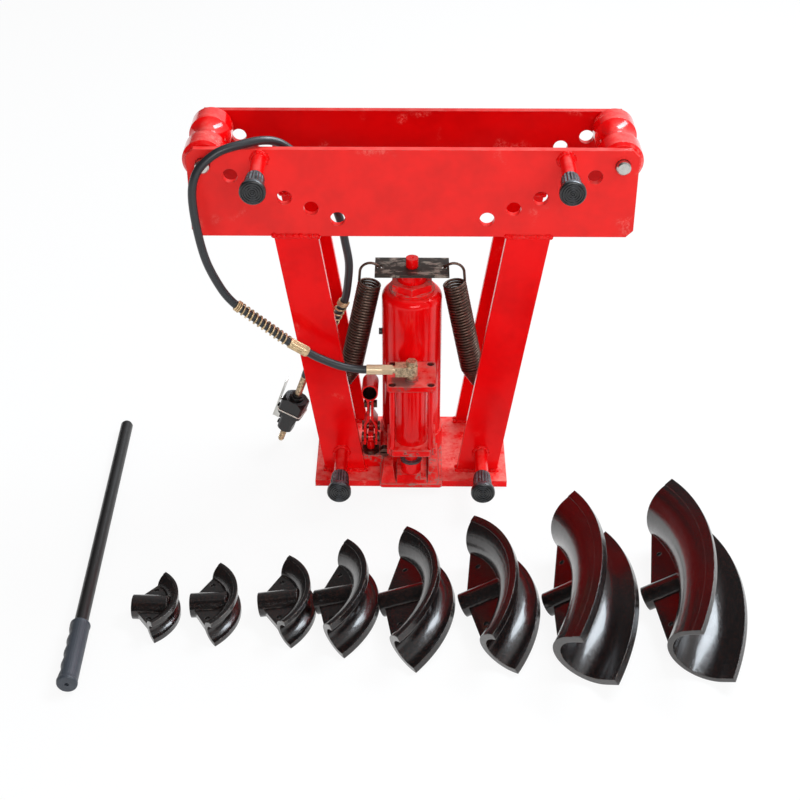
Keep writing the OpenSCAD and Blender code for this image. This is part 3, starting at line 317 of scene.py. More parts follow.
def finish(name, build):
    """Material of that name, built on first use. build gets the tree and the Principled BSDF."""
    found = bpy.data.materials.get(name)
    if found:
        return found
    made = bpy.data.materials.new(name)
    made.use_nodes = True
    tree = made.node_tree
    tree.nodes.clear()
    surface = put(tree, "ShaderNodeBsdfPrincipled")
    put(tree, "ShaderNodeOutputMaterial", {"Surface": surface.outputs[0]})
    build(tree, surface)
    made.diffuse_color = surface.inputs["Base Color"].default_value
    return made


def wire_up(tree, surface, **links):
    """Links or fills the shader's main inputs."""
    names = {"base": "Base Color", "rough": "Roughness", "metal": "Metallic", "normal": "Normal"}
    for key, value in links.items():
        target = surface.inputs[names[key]]
        if isinstance(value, bpy.types.NodeSocket):
            tree.links.new(value, target)
        elif key == "base":
            target.default_value = (*value, 1)
        else:
            target.default_value = value


def bump(tree, height, strength, distance, edge=0.0):
    """Normal with a relief, on edges that are rounded by the given radius."""
    ins = {"Height": height, "Strength": strength, "Distance": distance}
    if edge:
        ins["Normal"] = put(tree, "ShaderNodeBevel", {"Radius": edge}, samples=6).outputs[0]
    return put(tree, "ShaderNodeBump", ins).outputs[0]


RED_GLOSS = (1.0, 0.28, 0.27, 1.0)
# Where finishes change, in metres: painted shade in the lever's socket, round the banjo bolt and on the tie
# bolts' heads, and the end of the clean ferrule
SOCKET_AT, SOCKET_R, SOCKET_L, SOCKET_TILT = (-0.063, -0.04, 0.1462), 0.01, 0.026, math.radians(15)
BANJO_AT = (-0.012, -0.104, 0.2)
FERRULE_END_X = -0.024
TIE_SEAT_Z = 0.1945


def red_paint(name="gloss_red", wear=0.5, scuffs=0.25, low=0.64, dust=0.2, gloss=0.2, painted_sheen=0.0, coat=0.0,
              shade=1.0, grimy_above=None):
    """Gloss red paint: orange peel, rubbed edges, scuffs, and dust with painted sheen on level faces; where
    asked, a painted sheen all over, a darker copy for painted shade, and painted shade in the grime colour
    above a height.
    """

    def build(tree, surface):
        c = finishes()
        tones = [tuple(shade * v for v in tone) for tone in (c.red, c.deep_red)]
        paint = blend_colour(tree, ramp(tree, cloud(tree, 14.0, 3.0), 0.35, 0.7), *tones)
        # Dust and painted sheen on level faces, then a painted sheen all over where asked.
        dust_and_sheen_mask = use(tree, settled_dust(), scale=55.0, amount=dust)
        paint = blend_colour(tree, painted_sheen, blend_colour(tree, dust_and_sheen_mask, paint, c.dust), c.dust)
        scuffed = use(tree, rubbed_patches(), broad_scale=17.0, fine_scale=260.0, low=low, amount=scuffs)
        paint = blend_colour(tree, scuffed, paint, c.dust)
        paint = rub_edges(tree, paint, c.primer, 0.0013, wear, 70.0, 0.42, 0.62)
        # Painted shade: above that height the grime colour stands in for the shade of a recess.
        if grimy_above is not None:
            z = part_of(tree, own_place(tree), "Z")
            paint = blend_colour(tree, ramp(tree, z, grimy_above, grimy_above + 0.0004), paint, c.grime)
        rough = maths(tree, "ADD", gloss, maths(tree, "MULTIPLY", maths(tree, "ADD", dust_and_sheen_mask, scuffed), 0.3))
        height = use(tree, skin(), wave_scale=160.0, waves=0.6, grain_scale=900.0, grain=0.25)
        surface.inputs["Specular Tint"].default_value = RED_GLOSS
        surface.inputs["Coat Weight"].default_value = coat
        surface.inputs["Coat Roughness"].default_value = 0.1
        wire_up(tree, surface, base=paint, rough=rough, normal=bump(tree, height, 0.14, 0.0012, 0.0012))

    return finish(name, build)


def jack_paint():
    """Thick gloss paint on the jack's cylinders, with few marks."""
    return red_paint("jack_paint", wear=0.35, scuffs=0.5, low=0.66, dust=0.12, gloss=0.16, coat=0.25)


def tie_paint():
    """Red paint on the tie bolts, whose heads, sitting in their recesses, get painted shade."""
    return red_paint("tie_paint", wear=0.35, dust=0.0, gloss=0.16, coat=0.25, grimy_above=TIE_SEAT_Z)


def plate_paint():
    """Red paint on the front plate, paled all over by a painted sheen."""
    return red_paint("plate_paint", scuffs=0.3, gloss=0.3, painted_sheen=0.07)


def inner_paint():
    """Deeper red on the rear plate, as painted shade from the front plate, with pale scuffs from pipes."""
    return red_paint("inner_paint", scuffs=0.4, low=0.6, gloss=0.3, shade=0.7)


def roller_paint():
    """Gloss paint on the rollers, which mirrors the window."""
    return red_paint("roller_paint", wear=0.7, scuffs=0.5, low=0.55, dust=0.3, gloss=0.2, coat=0.7)


def dust_and_sheen_paint():
    """Red paint on the base plate, pale with dust and painted sheen."""
    return red_paint("dusty_red_paint", wear=0.7, scuffs=0.5, low=0.5, dust=0.8, gloss=0.24)


def worn_paint(name="worn_red_paint", spot=None, reach=0.03):
    """Red paint on the jack's castings, rubbed grey on edges and in patches, pale on level faces with dust
    and painted sheen, and with painted shade round a spot.
    """

    def build(tree, surface):
        c = finishes()
        paint = blend_colour(tree, ramp(tree, cloud(tree, 30.0, 3.0), 0.35, 0.7), c.red, c.deep_red)
        # Dust and painted sheen paling the faces that look up.
        level = use(tree, settled_dust(), scale=48.0, amount=0.6)
        paint = blend_colour(tree, level, paint, c.dust)
        bare = use(tree, rubbed_patches(), broad_scale=26.0, fine_scale=160.0, low=0.52, amount=0.9)
        paint = blend_colour(tree, bare, paint, c.primer)
        paint = rub_edges(tree, paint, c.primer, 0.0024, 0.9, 55.0, 0.36, 0.56)
        # Painted shade round a spot, in the grey film colour.
        if spot:
            off = vectors(tree, "DISTANCE", own_place(tree), spot)
            ragged = maths(tree, "ADD", off, maths(tree, "MULTIPLY", cloud(tree, 70.0, 5.0), reach))
            banjo_shade = ramp(tree, ragged, reach, 1.25 * reach, 0.85, 0.0)
            paint = blend_colour(tree, banjo_shade, paint, c.film)
        rough = maths(tree, "ADD", 0.24, maths(tree, "MULTIPLY", level, 0.3))
        height = use(tree, skin(), wave_scale=120.0, waves=0.8, grain_scale=600.0, grain=0.5)
        surface.inputs["Specular Tint"].default_value = RED_GLOSS
        wire_up(tree, surface, base=paint, rough=rough, normal=bump(tree, height, 0.3, 0.0012, 0.0016))

    return finish(name, build)


def top_plate_paint():
    """Worn paint with painted shade round the banjo bolt."""
    return worn_paint("top_plate_paint", spot=BANJO_AT)


def lever_paint():
    """Worn red paint with grime patches and a black socket: painted shade near the socket's axis."""

    def build(tree, surface):
        c = finishes()
        moved = vectors(tree, "SUBTRACT", own_place(tree), SOCKET_AT)
        level = put(tree, "ShaderNodeMapping", {"Vector": moved, "Rotation": (SOCKET_TILT, 0, 0)}).outputs[0]
        off = vectors(tree, "LENGTH", vectors(tree, "MULTIPLY", level, (1, 0, 1)))
        bore = ramp(tree, off, SOCKET_R + 0.0004, SOCKET_R + 0.0008, 1.0, 0.0)
        mouth = ramp(tree, part_of(tree, level, "Y"), SOCKET_L, SOCKET_L + 0.001, 1.0, 0.0)
        # Painted shade: the socket's bore is made black with the castings' colour.
        black = maths(tree, "MULTIPLY", bore, mouth)
        paint = blend_colour(tree, ramp(tree, cloud(tree, 40.0, 4.0), 0.4, 0.7), c.red, c.deep_red)
        paint = rub_edges(tree, paint, c.primer, 0.0016, 0.6, 80.0, 0.42, 0.6)
        grime = use(tree, rubbed_patches(), broad_scale=30.0, fine_scale=200.0, low=0.42, amount=0.7)
        paint = blend_colour(tree, grime, paint, c.grime)
        height = use(tree, skin(), wave_scale=140.0, waves=0.6, grain_scale=700.0, grain=0.4)
        surface.inputs["Specular Tint"].default_value = RED_GLOSS
        wire_up(tree, surface, base=blend_colour(tree, black, paint, c.iron), rough=0.3,
                normal=bump(tree, height, 0.2, 0.0012, 0.0012))

    return finish("lever_paint", build)


def cast_black():
    """Gloss black over a rough casting, brown where it is thin."""

    def build(tree, surface):
        c = finishes()
        thin = maths(tree, "MULTIPLY", ramp(tree, cloud(tree, 26.0, 6.0, 0.7), 0.55, 0.78), 0.55)
        black = blend_colour(tree, thin, c.iron, c.iron_worn)
        specks = maths(tree, "MULTIPLY", ramp(tree, cloud(tree, 380.0, 3.0, 0.6), 0.48, 0.62), 0.6)
        black = blend_colour(tree, specks, black, c.iron_worn)
        black = rub_edges(tree, black, c.plate_steel, 0.0016, 0.5, 80.0, 0.45, 0.65)
        rough = ramp(tree, cloud(tree, 40.0, 5.0), 0.3, 0.75, 0.16, 0.25)
        height = use(tree, skin(), wave_scale=120.0, waves=0.5, grain_scale=330.0, grain=0.5)
        surface.inputs["Specular IOR Level"].default_value = 0.4
        surface.inputs["Coat Weight"].default_value = 0.6
        surface.inputs["Coat Roughness"].default_value = 0.13
        wire_up(tree, surface, base=black, rough=rough, normal=bump(tree, height, 0.42, 0.0015, 0.0022))

    return finish("cast_black", build)


def metal(name, tint, dark, rough_low, rough_high, scale=60.0, stretch=None, relief=0.12, bare=1.0,
          spread=(0.35, 0.72), clean_below=None):
    """Bare or plated metal, stained and brushed."""

    def build(tree, surface):
        c = finishes()
        stain = ramp(tree, cloud(tree, scale, 6.0, 0.7, stretch), *spread)
        if clean_below is not None:
            x = part_of(tree, own_place(tree), "X")
            stain = maths(tree, "MULTIPLY", stain, ramp(tree, x, clean_below - 0.001, clean_below, 0.15, 1.0))
        tone = getattr(c, tint)
        shade = tuple(v * dark for v in tone)
        base = blend_colour(tree, stain, tone, shade)
        bright = tuple(min(1.0, v * 1.5) for v in tone)
        base = rub_edges(tree, base, bright, 0.0008, 0.5, 120.0, 0.4, 0.6)
        rough = ramp(tree, stain, 0.0, 1.0, rough_low, rough_high)
        height = use(tree, skin(), wave_scale=220.0, waves=0.3, grain_scale=1400.0, grain=0.6)
        wire_up(tree, surface, base=base, rough=rough, metal=bare, normal=bump(tree, height, relief, 0.0008))

    return finish(name, build)


def rubber(name, tint, rough, relief=0.2, coat=0.0, grain=900.0, dust=0.0):
    """Moulded rubber or satin black paint: pale rubbed edges, a painted highlight on faces that look up where
    asked, and a fine skin.
    """

    def build(tree, surface):
        c = finishes()
        tone = getattr(c, tint)
        pale = tuple(min(1.0, v * 2.2 + 0.01) for v in tone)
        mottle = ramp(tree, cloud(tree, 45.0, 6.0, 0.7), 0.4, 0.8)
        base = blend_colour(tree, mottle, tone, tuple(v * 0.8 for v in tone))
        base = rub_edges(tree, base, pale, 0.0009, 0.4, 90.0, 0.4, 0.65)
        # Painted highlight on faces that look up.
        base = blend_colour(tree, use(tree, settled_dust(), scale=90.0, amount=dust), base, c.cap_dust)
        dull = ramp(tree, cloud(tree, 70.0, 5.0), 0.3, 0.75, rough, rough + 0.12)
        height = use(tree, skin(), wave_scale=180.0, waves=0.4, grain_scale=grain, grain=0.6)
        surface.inputs["Coat Weight"].default_value = coat
        surface.inputs["Coat Roughness"].default_value = 0.35
        wire_up(tree, surface, base=base, rough=dull, normal=bump(tree, height, relief, 0.0008))

    return finish(name, build)


def bright_steel():
    return metal("bright_steel", "steel", 0.75, 0.22, 0.36, scale=45.0, stretch=(1, 9, 1))


def spring_steel():
    return metal("spring_steel", "dark_steel", 0.45, 0.34, 0.5, scale=110.0)


def plate_steel():
    return metal("scratched_plate", "plate_steel", 0.14, 0.34, 0.5, scale=46.0, stretch=(1, 2.0, 1), bare=0.7,
                 spread=(0.4, 0.52))


def yellow_zinc():
    return metal("plated_zinc", "zinc", 0.5, 0.3, 0.46, scale=70.0, bare=0.6)


def stained_zinc():
    return metal("stained_zinc", "stained_zinc", 0.16, 0.28, 0.5, scale=330.0, relief=0.25, bare=0.75)


def fitting_zinc():
    """Banjo fitting: stained block, clean ferrule to its left."""
    return metal("fitting_zinc", "stained_zinc", 0.2, 0.28, 0.5, scale=260.0, relief=0.25, bare=0.4,
                 clean_below=FERRULE_END_X)


def cap_rubber():
    # The caps get a painted highlight on the faces that look up.
    return rubber("cap_rubber", "rubber", 0.22, coat=0.25, dust=0.85)


def hose_rubber():
    return rubber("hose_rubber", "hose", 0.34, relief=0.1, coat=0.15)


def grip_rubber():
    return rubber("grip_rubber", "slate", 0.42, relief=0.35, grain=1500.0)


def black_paint():
    return rubber("satin_black", "black_paint", 0.32, relief=0.12)


NODE_FINISHES = (
    (inner_paint, "rear_side_plate"),
    (red_paint, "front_left_leg front_right_leg rear_left_leg rear_right_leg support_pegs"),
    (plate_paint, "front_side_plate"),
    (roller_paint, "left_roller right_roller"),
    (jack_paint, "jack_reservoir air_pump_cylinder air_pump_neck ram pump_plunger"),
    (tie_paint, "air_pump_tie_bolts"),
    (worn_paint, "jack_base gland_nut air_pump_flange"),
    (top_plate_paint, "air_pump_top_plate"),
    (lever_paint, "pump_lever"),
    (dust_and_sheen_paint, "base_plate"),
    (bright_steel, "left_roller_pin right_roller_pin jack_cylinder air_piston valve_lever valve_button"),
    (spring_steel, "spring_anchor_rods release_valve left_return_spring right_return_spring pump_barrel "
                   "lever_pivot_pin plunger_pin lever_clamp_bolt air_pump_spring"),
    (plate_steel, "spring_plate"),
    (yellow_zinc, "hose_sleeves hose_guard_springs"),
    (stained_zinc, "banjo_bolt valve_tube valve_nipple"),
    (fitting_zinc, "banjo_fitting"),
    (cap_rubber, "peg_caps filler_plug ram_seal neck_seal"),
    (hose_rubber, "air_hose"),
    (black_paint, "valve_body handle_bar"),
    (grip_rubber, "handle_grip"),
    (cast_black, "die_1 die_2 die_3 die_4 die_5 die_6 die_7 die_8"),
)


# Shapes


def linked(name, mesh):
    made = bpy.data.objects.new(name, mesh)
    bpy.context.scene.collection.objects.link(made)
    return made


def solid(name, points, faces, material):
    """Closed mesh with its normals outward."""
    mesh = bpy.data.meshes.new(name)
    mesh.from_pydata([tuple(p) for p in points], [], faces)
    work = bmesh.new()
    work.from_mesh(mesh)
    bmesh.ops.remove_doubles(work, verts=work.verts, dist=1e-6)
    bmesh.ops.recalc_face_normals(work, faces=work.faces)
    work.to_mesh(mesh)
    work.free()
    mesh.materials.append(material)
    mesh.polygons.foreach_set("use_smooth", [True] * len(mesh.polygons))
    mesh.set_sharp_from_angle(angle=math.radians(40))
    return linked(name, mesh)


def sides_of(axis):
    """Two directions square to an axis and to each other."""
    start = Vector((0, 0, 1)) if abs(axis.z) < 0.9 else Vector((1, 0, 0))
    first = (start - start.dot(axis) * axis).normalized()
    return first, axis.cross(first)


def spoke(first, second, angle):
    """Direction at an angle between two sides."""
    return math.cos(angle) * first + math.sin(angle) * second


def turned(profile, steps, origin, axis, shape=None):
    """Points and faces of a closed turned shape.

    profile holds (along, radius), and shape may change a radius by its angle.
    """
    first, second = sides_of(axis)
    points, faces, rings = [], [], []
    for row, (along, radius) in enumerate(profile):
        centre = origin + axis * along
        if radius == 0:
            rings.append([len(points)] * steps)
            points.append(centre)
            continue
        ring = []
        for k in range(steps):
            angle = 2 * math.pi * k / steps
            r = shape(row, along, radius, angle) if shape else radius
            ring.append(len(points))
            points.append(centre + r * spoke(first, second, angle))
        rings.append(ring)
    for a, b in zip(rings, rings[1:]):
        for k in range(steps):
            j = (k + 1) % steps
            face = list(dict.fromkeys((a[k], a[j], b[j], b[k])))
            if len(face) > 2:
                faces.append(face)
    return points, faces


def joined(shapes):
    """Several shapes' points and faces as one."""
    points, faces = [], []
    for some_points, some_faces in shapes:
        start = len(points)
        points += some_points
        faces += [[start + i for i in face] for face in some_faces]
    return points, faces


def smooth_path(points, steps):
    """Smooth curve through points."""
    out = []
    last = len(points) - 1
    for i in range(last):
        a, b = points[max(i - 1, 0)], points[i]
        c, d = points[i + 1], points[min(i + 2, last)]
        for k in range(steps):
            t = k / steps
            square, cube = 2 * a - 5 * b + 4 * c - d, 3 * b - a - 3 * c + d
            out.append(0.5 * (2 * b + (c - a) * t + square * t * t + cube * t ** 3))
    return out + [points[-1].copy()]


def path_length(points):
    return sum((b - a).length for a, b in zip(points, points[1:]))


def swept(rows, sides):
    """Faces between rows of points that follow each other, closed at both ends."""
    faces = []
    for i in range(rows - 1):
        for k in range(sides):
            j = (k + 1) % sides
            faces.append((i * sides + k, i * sides + j, (i + 1) * sides + j, (i + 1) * sides + k))
    return faces + [list(range(sides)), list(range((rows - 1) * sides, rows * sides))]


def tube(path, radius, sides):
    """Points and faces of a round tube along a path, closed at its ends."""
    points = []
    heading = (path[1] - path[0]).normalized()
    side = sides_of(heading)[0]
    for i, p in enumerate(path):
        heading = (path[min(i + 1, len(path) - 1)] - path[max(i - 1, 0)]).normalized()
        side = (side - side.dot(heading) * heading).normalized()
        other = heading.cross(side)
        for k in range(sides):
            angle = 2 * math.pi * k / sides
            points.append(p + radius * spoke(side, other, angle))
    return points, swept(len(path), sides)


def geometry_tree(name, inputs, build):
    """Geometry node tree from a path to a mesh, built once."""
    found = bpy.data.node_groups.get(name)
    if found:
        return found
    tree = bpy.data.node_groups.new(name, "GeometryNodeTree")
    tree.interface.new_socket("Path", in_out="INPUT", socket_type="NodeSocketGeometry")
    for label, kind in inputs:
        tree.interface.new_socket(label, in_out="INPUT", socket_type=kind)
    tree.interface.new_socket("Finish", in_out="INPUT", socket_type="NodeSocketMaterial")
    tree.interface.new_socket("Mesh", in_out="OUTPUT", socket_type="NodeSocketGeometry")
    ins = put(tree, "NodeGroupInput").outputs
    grown = build(tree, ins)
    real = put(tree, "GeometryNodeRealizeInstances", {"Geometry": grown}).outputs[0]
    smooth = put(tree, "GeometryNodeSetShadeSmooth", {"Geometry": real}).outputs[0]
    painted = put(tree, "GeometryNodeSetMaterial", {"Geometry": smooth, "Material": ins["Finish"]}).outputs[0]
    put(tree, "NodeGroupOutput", {"Mesh": painted})
    return tree


def wire_along_path():
    """Round wire along a path: springs, guards and the band."""

    def build(tree, ins):
        curve = put(tree, "GeometryNodeMeshToCurve", {"Mesh": ins["Path"]}).outputs[0]
        circle = {"Resolution": ins["Sides"], "Radius": ins["Wire Radius"]}
        section = put(tree, "GeometryNodeCurvePrimitiveCircle", circle, mode="RADIUS").outputs["Curve"]
        sweep = {"Curve": curve, "Profile Curve": section, "Fill Caps": True}
        return put(tree, "GeometryNodeCurveToMesh", sweep).outputs[0]

    inputs = [("Wire Radius", "NodeSocketFloat"), ("Sides", "NodeSocketInt")]
    return geometry_tree("wire_along_path", inputs, build)


def weld_along_path():
    """Rippled weld bead: round beads that overlap along a path, each a little different in size."""

    def build(tree, ins):
        curve = put(tree, "GeometryNodeMeshToCurve", {"Mesh": ins["Path"]}).outputs[0]
        spacing = {"Curve": curve, "Length": ins["Ripple"]}
        row = put(tree, "GeometryNodeResampleCurve", spacing, mode="LENGTH").outputs[0]
        bead = put(tree, "GeometryNodeMeshIcoSphere", {"Radius": 1.0, "Subdivisions": 2}).outputs[0]
        along = put(tree, "GeometryNodeInputTangent").outputs[0]
        turn = put(tree, "FunctionNodeAlignRotationToVector", {"Vector": along}, axis="X").outputs[0]
        spread = put(tree, "FunctionNodeRandomValue", data_type="FLOAT")
        spread.inputs[2].default_value = 0.82
        spread.inputs[3].default_value = 1.2
        tree.links.new(ins["Seed"], spread.inputs["Seed"])
        size = maths(tree, "MULTIPLY", maths(tree, "MULTIPLY", ins["Width"], 0.5), spread.outputs[1])
        beads = {"Points": row, "Instance": bead, "Rotation": turn, "Scale": size}
        return put(tree, "GeometryNodeInstanceOnPoints", beads).outputs[0]

    inputs = [("Ripple", "NodeSocketFloat"), ("Width", "NodeSocketFloat"), ("Seed", "NodeSocketInt")]
    return geometry_tree("weld_along_path", inputs, build)


def grown(name, paths, tree, closed=False, **inputs):
    """Plain mesh that a tree makes from one or more paths."""
    points, edges = [], []
    for path in paths:
        start = len(points)
        points += [tuple(p) for p in path]
        edges += [(i, i + 1) for i in range(start, len(points) - 1)]
        if closed:
            edges.append((len(points) - 1, start))
    mesh = bpy.data.meshes.new(name + "_path")
    mesh.from_pydata(points, edges, [])
    made = linked(name, mesh)
    modifier = made.modifiers.new(tree.name, "NODES")
    modifier.node_group = tree
    for item in tree.interface.items_tree:
        key = item.name.replace(" ", "_").lower()
        if item.item_type == "SOCKET" and item.in_out == "INPUT" and key in inputs:
            modifier[item.identifier] = inputs[key]
    view = bpy.context.evaluated_depsgraph_get()
    result = bpy.data.meshes.new_from_object(made.evaluated_get(view))
    made.modifiers.clear()
    made.data = result
    bpy.data.meshes.remove(mesh)
    if not len(result.polygons):
        raise RuntimeError(name + " has no faces")
    work = bmesh.new()
    work.from_mesh(result)
    bmesh.ops.recalc_face_normals(work, faces=work.faces)
    work.to_mesh(result)
    work.free()
    result.name = name
    return made


def point(x, y, z):
    return Vector((x, y, z)) * MM


# Places, in millimetres as in the part's source

FRONT_Y, REAR_Y, PLATE_T = -71.5, 71.5, 10
PLATE_Z, BASE_T = 422, 11
LEG_TOP_X, LEG_FOOT_X, LEG_W = 164, 102, 62
PEGS = ((-210, 540), (210, 540), (-107.3, 46), (107.3, 46))
PEG_R = 10
CAP_FACE_Y, CAP_L, CAP_FLOOR = -176.5, 45, 9
ANCHOR_X, ANCHOR_Z, ANCHOR_R, ANCHOR_Y = 105.5, 114, 4, 61.5
HOOK_X, HOOK_Z, HOOK_R = 61.75, 324, 15.75
SPRING_TOP, SPRING_FOOT = (63, 307), (99.6, 126)
SPRING_R, SPRING_TIP_R, CONE_SHARE, RING_R = 15.9, 3, 0.18, 5.9
VALVE_FOOT = point(-211, 24, 2.11)
VALVE_TURN = Euler((0, math.radians(20), math.radians(-21))).to_matrix()
VALVE_UP = VALVE_TURN @ Vector((0, 0, 1))
VALVE_LENGTH = 141 * MM
VALVE_TOP = VALVE_FOOT + VALVE_LENGTH * VALVE_UP
HOSE_START = (-66, -102, 218)
HOSE_ROUTE = (
    (-82, -102, 219), (-106, -104, 226), (-134, -106, 240), (-151, -107, 251), (-177, -109, 269),
    (-202, -110, 291), (-227, -111, 313), (-252, -112, 335), (-270, -112, 361), (-288, -110, 404),
    (-298, -106, 456), (-301, -101, 500), (-295, -97, 527), (-282, -92, 544), (-261, -84, 557),
    (-235, -72, 561), (-209, -58, 561), (-189, -47, 555), (-172, -42, 543), (-143, -40, 514),
    (-117, -37, 468), (-103, -35, 429), (-97, -33, 394), (-92, -30, 357), (-94, -26, 324),
    (-99.5, -19, 288.5), (-110, -15, 264), (-122, -10, 235), (-135, -5, 205), (-148, 0, 175), (-155, 2, 159),
)
UPPER_SLEEVE, LOWER_SLEEVE = (3, 4), (29, 30)
UPPER_GUARD, LOWER_GUARD = (4, 7), (29, 25)
AIR_PUMP_Y, AIR_SPRING_Z, AIR_SPRING_R, AIR_SPRING_WIRE_R = -86.5, (86.5, 169), 12.4, 1.4
HANDLE_TIP, HANDLE_LENGTH, BAR_D, GRIP_D, GRIP_L = (-463, 53), 600, 19, 28, 116
FINGER_SIDE = -math.pi / 2
ROW_L, ROW_FORE, STUB_R = 400, 390, 17
# Bend radius, half width, half arc, lip, stub, places along and before the row, swing
DIES = (
    (66, 18, 53, 0, 37, -0.963, 1.018, -3), (83, 20, 50, 0, 37, -0.798, 1.01, 0),
    (91, 23.5, 50, 0, 43, -0.56, 1.005, 1), (124, 30, 47, 0, 43, -0.423, 0.977, -5.5),
    (154, 33.5, 48.5, 0, 44, -0.233, 0.99, -3), (184, 40, 42.5, 0, 50, -0.008, 1.008, 3.5),
    (295, 49, 29, 20.5, 58.5, 0.066, 0.959, -3.7), (329, 52, 27.4, 19, 69, 0.344, 0.943, -1.3),
)


# Which way the bright side of the room lies
WINDOW_WAY = (0.75, 0.45, 0.48)


def valve_point(x, y, z):
    """Point of the control valve's own frame."""
    return VALVE_FOOT + VALVE_TURN @ point(x, y, z)


class BenderStageMake(bpy.types.Operator):
    """Camera at the photograph's angle, pale floor and soft lamps"""

    bl_idname = "bender.stage"
    bl_label = "Stage"

    def execute(self, context):
        s = context.scene.bender_stage
        context.scene.view_settings.view_transform = "Standard"
        camera = bpy.data.objects.new("camera", bpy.data.cameras.new("camera"))
        camera.location, camera.rotation_euler = s.eye, s.aim
        camera.data.lens, camera.data.sensor_width = s.lens, 36
        camera.data.clip_end = 50
        context.scene.collection.objects.link(camera)
        context.scene.camera = camera
        self.room(context.scene, s)
        # Name, watts, width, depth, place and aim of each lamp, in metres
        for name, watts, width, depth, place, aim in (
            ("window", s.window, 2.4, 0.9, (1.5, 0.95, 2.45), (0.3, -0.4, 0.05)),
            ("ceiling", s.ceiling, 2.4, 2.0, (0.2, -0.2, 2.7), (0, -0.1, 0)),
            ("front", s.front, 1.8, 1.4, (0.6, -2.8, 1.75), (0, -0.1, 0.25)),
        ):
            tint = s.daylight if name == "window" else (1, 1, 1)
            self.lamp(context.scene, name, watts, width, depth, Vector(place), Vector(aim), tint)
        self.floor(s)
        return {"FINISHED"}

    def lamp(self, scene, name, watts, width, depth, place, aim, tint):
        data = bpy.data.lights.new(name, "AREA")
        data.shape, data.size, data.size_y, data.energy = "RECTANGLE", width, depth, watts
        data.color = tint
        lamp = bpy.data.objects.new(name, data)
        lamp.location = place
        lamp.rotation_euler = (place - aim).to_track_quat("Z", "Y").to_euler()
        scene.collection.objects.link(lamp)

    def seen(self, tree):
        """1 for what the camera, a mirror or glass sees, 0 for light that falls on the bender."""
        path = put(tree, "ShaderNodeLightPath").outputs
        mirrored = maths(tree, "MAXIMUM", path["Is Glossy Ray"], path["Is Transmission Ray"])
        return maths(tree, "MAXIMUM", path["Is Camera Ray"], mirrored)

    def room(self, scene, s):
        """White where the camera looks past the floor, even light, and a bright side for reflections."""
        world = bpy.data.worlds.new("room")
        scene.world = world
        world.use_nodes = True
        tree = world.node_tree
        tree.nodes.clear()
        path = put(tree, "ShaderNodeLightPath").outputs
        white = maths(tree, "MAXIMUM", path["Is Camera Ray"], path["Is Transmission Ray"])
        plain = put(tree, "ShaderNodeMapRange", {"Value": white, "To Min": s.sky, "To Max": 1.0}).outputs[0]
        ray = put(tree, "ShaderNodeTexCoord").outputs["Generated"]
        to_window = vectors(tree, "DOT_PRODUCT", ray, WINDOW_WAY)
        mirrored = ramp(tree, to_window, 0.1, 0.95, s.dim, s.bright)
        views = {"Factor": path["Is Glossy Ray"], "A": plain, "B": mirrored}
        strength = put(tree, "ShaderNodeMix", views).outputs[0]
        light = put(tree, "ShaderNodeBackground", {"Color": (1, 1, 1, 1), "Strength": strength})
        put(tree, "ShaderNodeOutputWorld", {"Surface": light.outputs[0]})

    def floor(self, s):
        """Pale floor that is seen white and keeps the bender's shadow."""
        material = bpy.data.materials.new("floor")
        material.use_nodes = True
        tree = material.node_tree
        tree.nodes.clear()
        plain = put(tree, "ShaderNodeBsdfDiffuse", {"Color": (*s.floor, 1)})
        white = put(tree, "ShaderNodeEmission", {"Color": (1, 1, 1, 1), "Strength": 1.0})
        share = maths(tree, "MULTIPLY", self.seen(tree), s.floor_glow)
        mixed = put(tree, "ShaderNodeMixShader", {0: share, 1: plain.outputs[0], 2: white.outputs[0]})
        put(tree, "ShaderNodeOutputMaterial", {"Surface": mixed.outputs[0]})
        half, low = 30, -0.0004
        mesh = bpy.data.meshes.new("floor")
        corners = [(-half, -half, low), (half, -half, low), (half, half, low), (-half, half, low)]
        mesh.from_pydata(corners, [], [(0, 1, 2, 3)])
        mesh.materials.append(material)
        linked("floor", mesh)


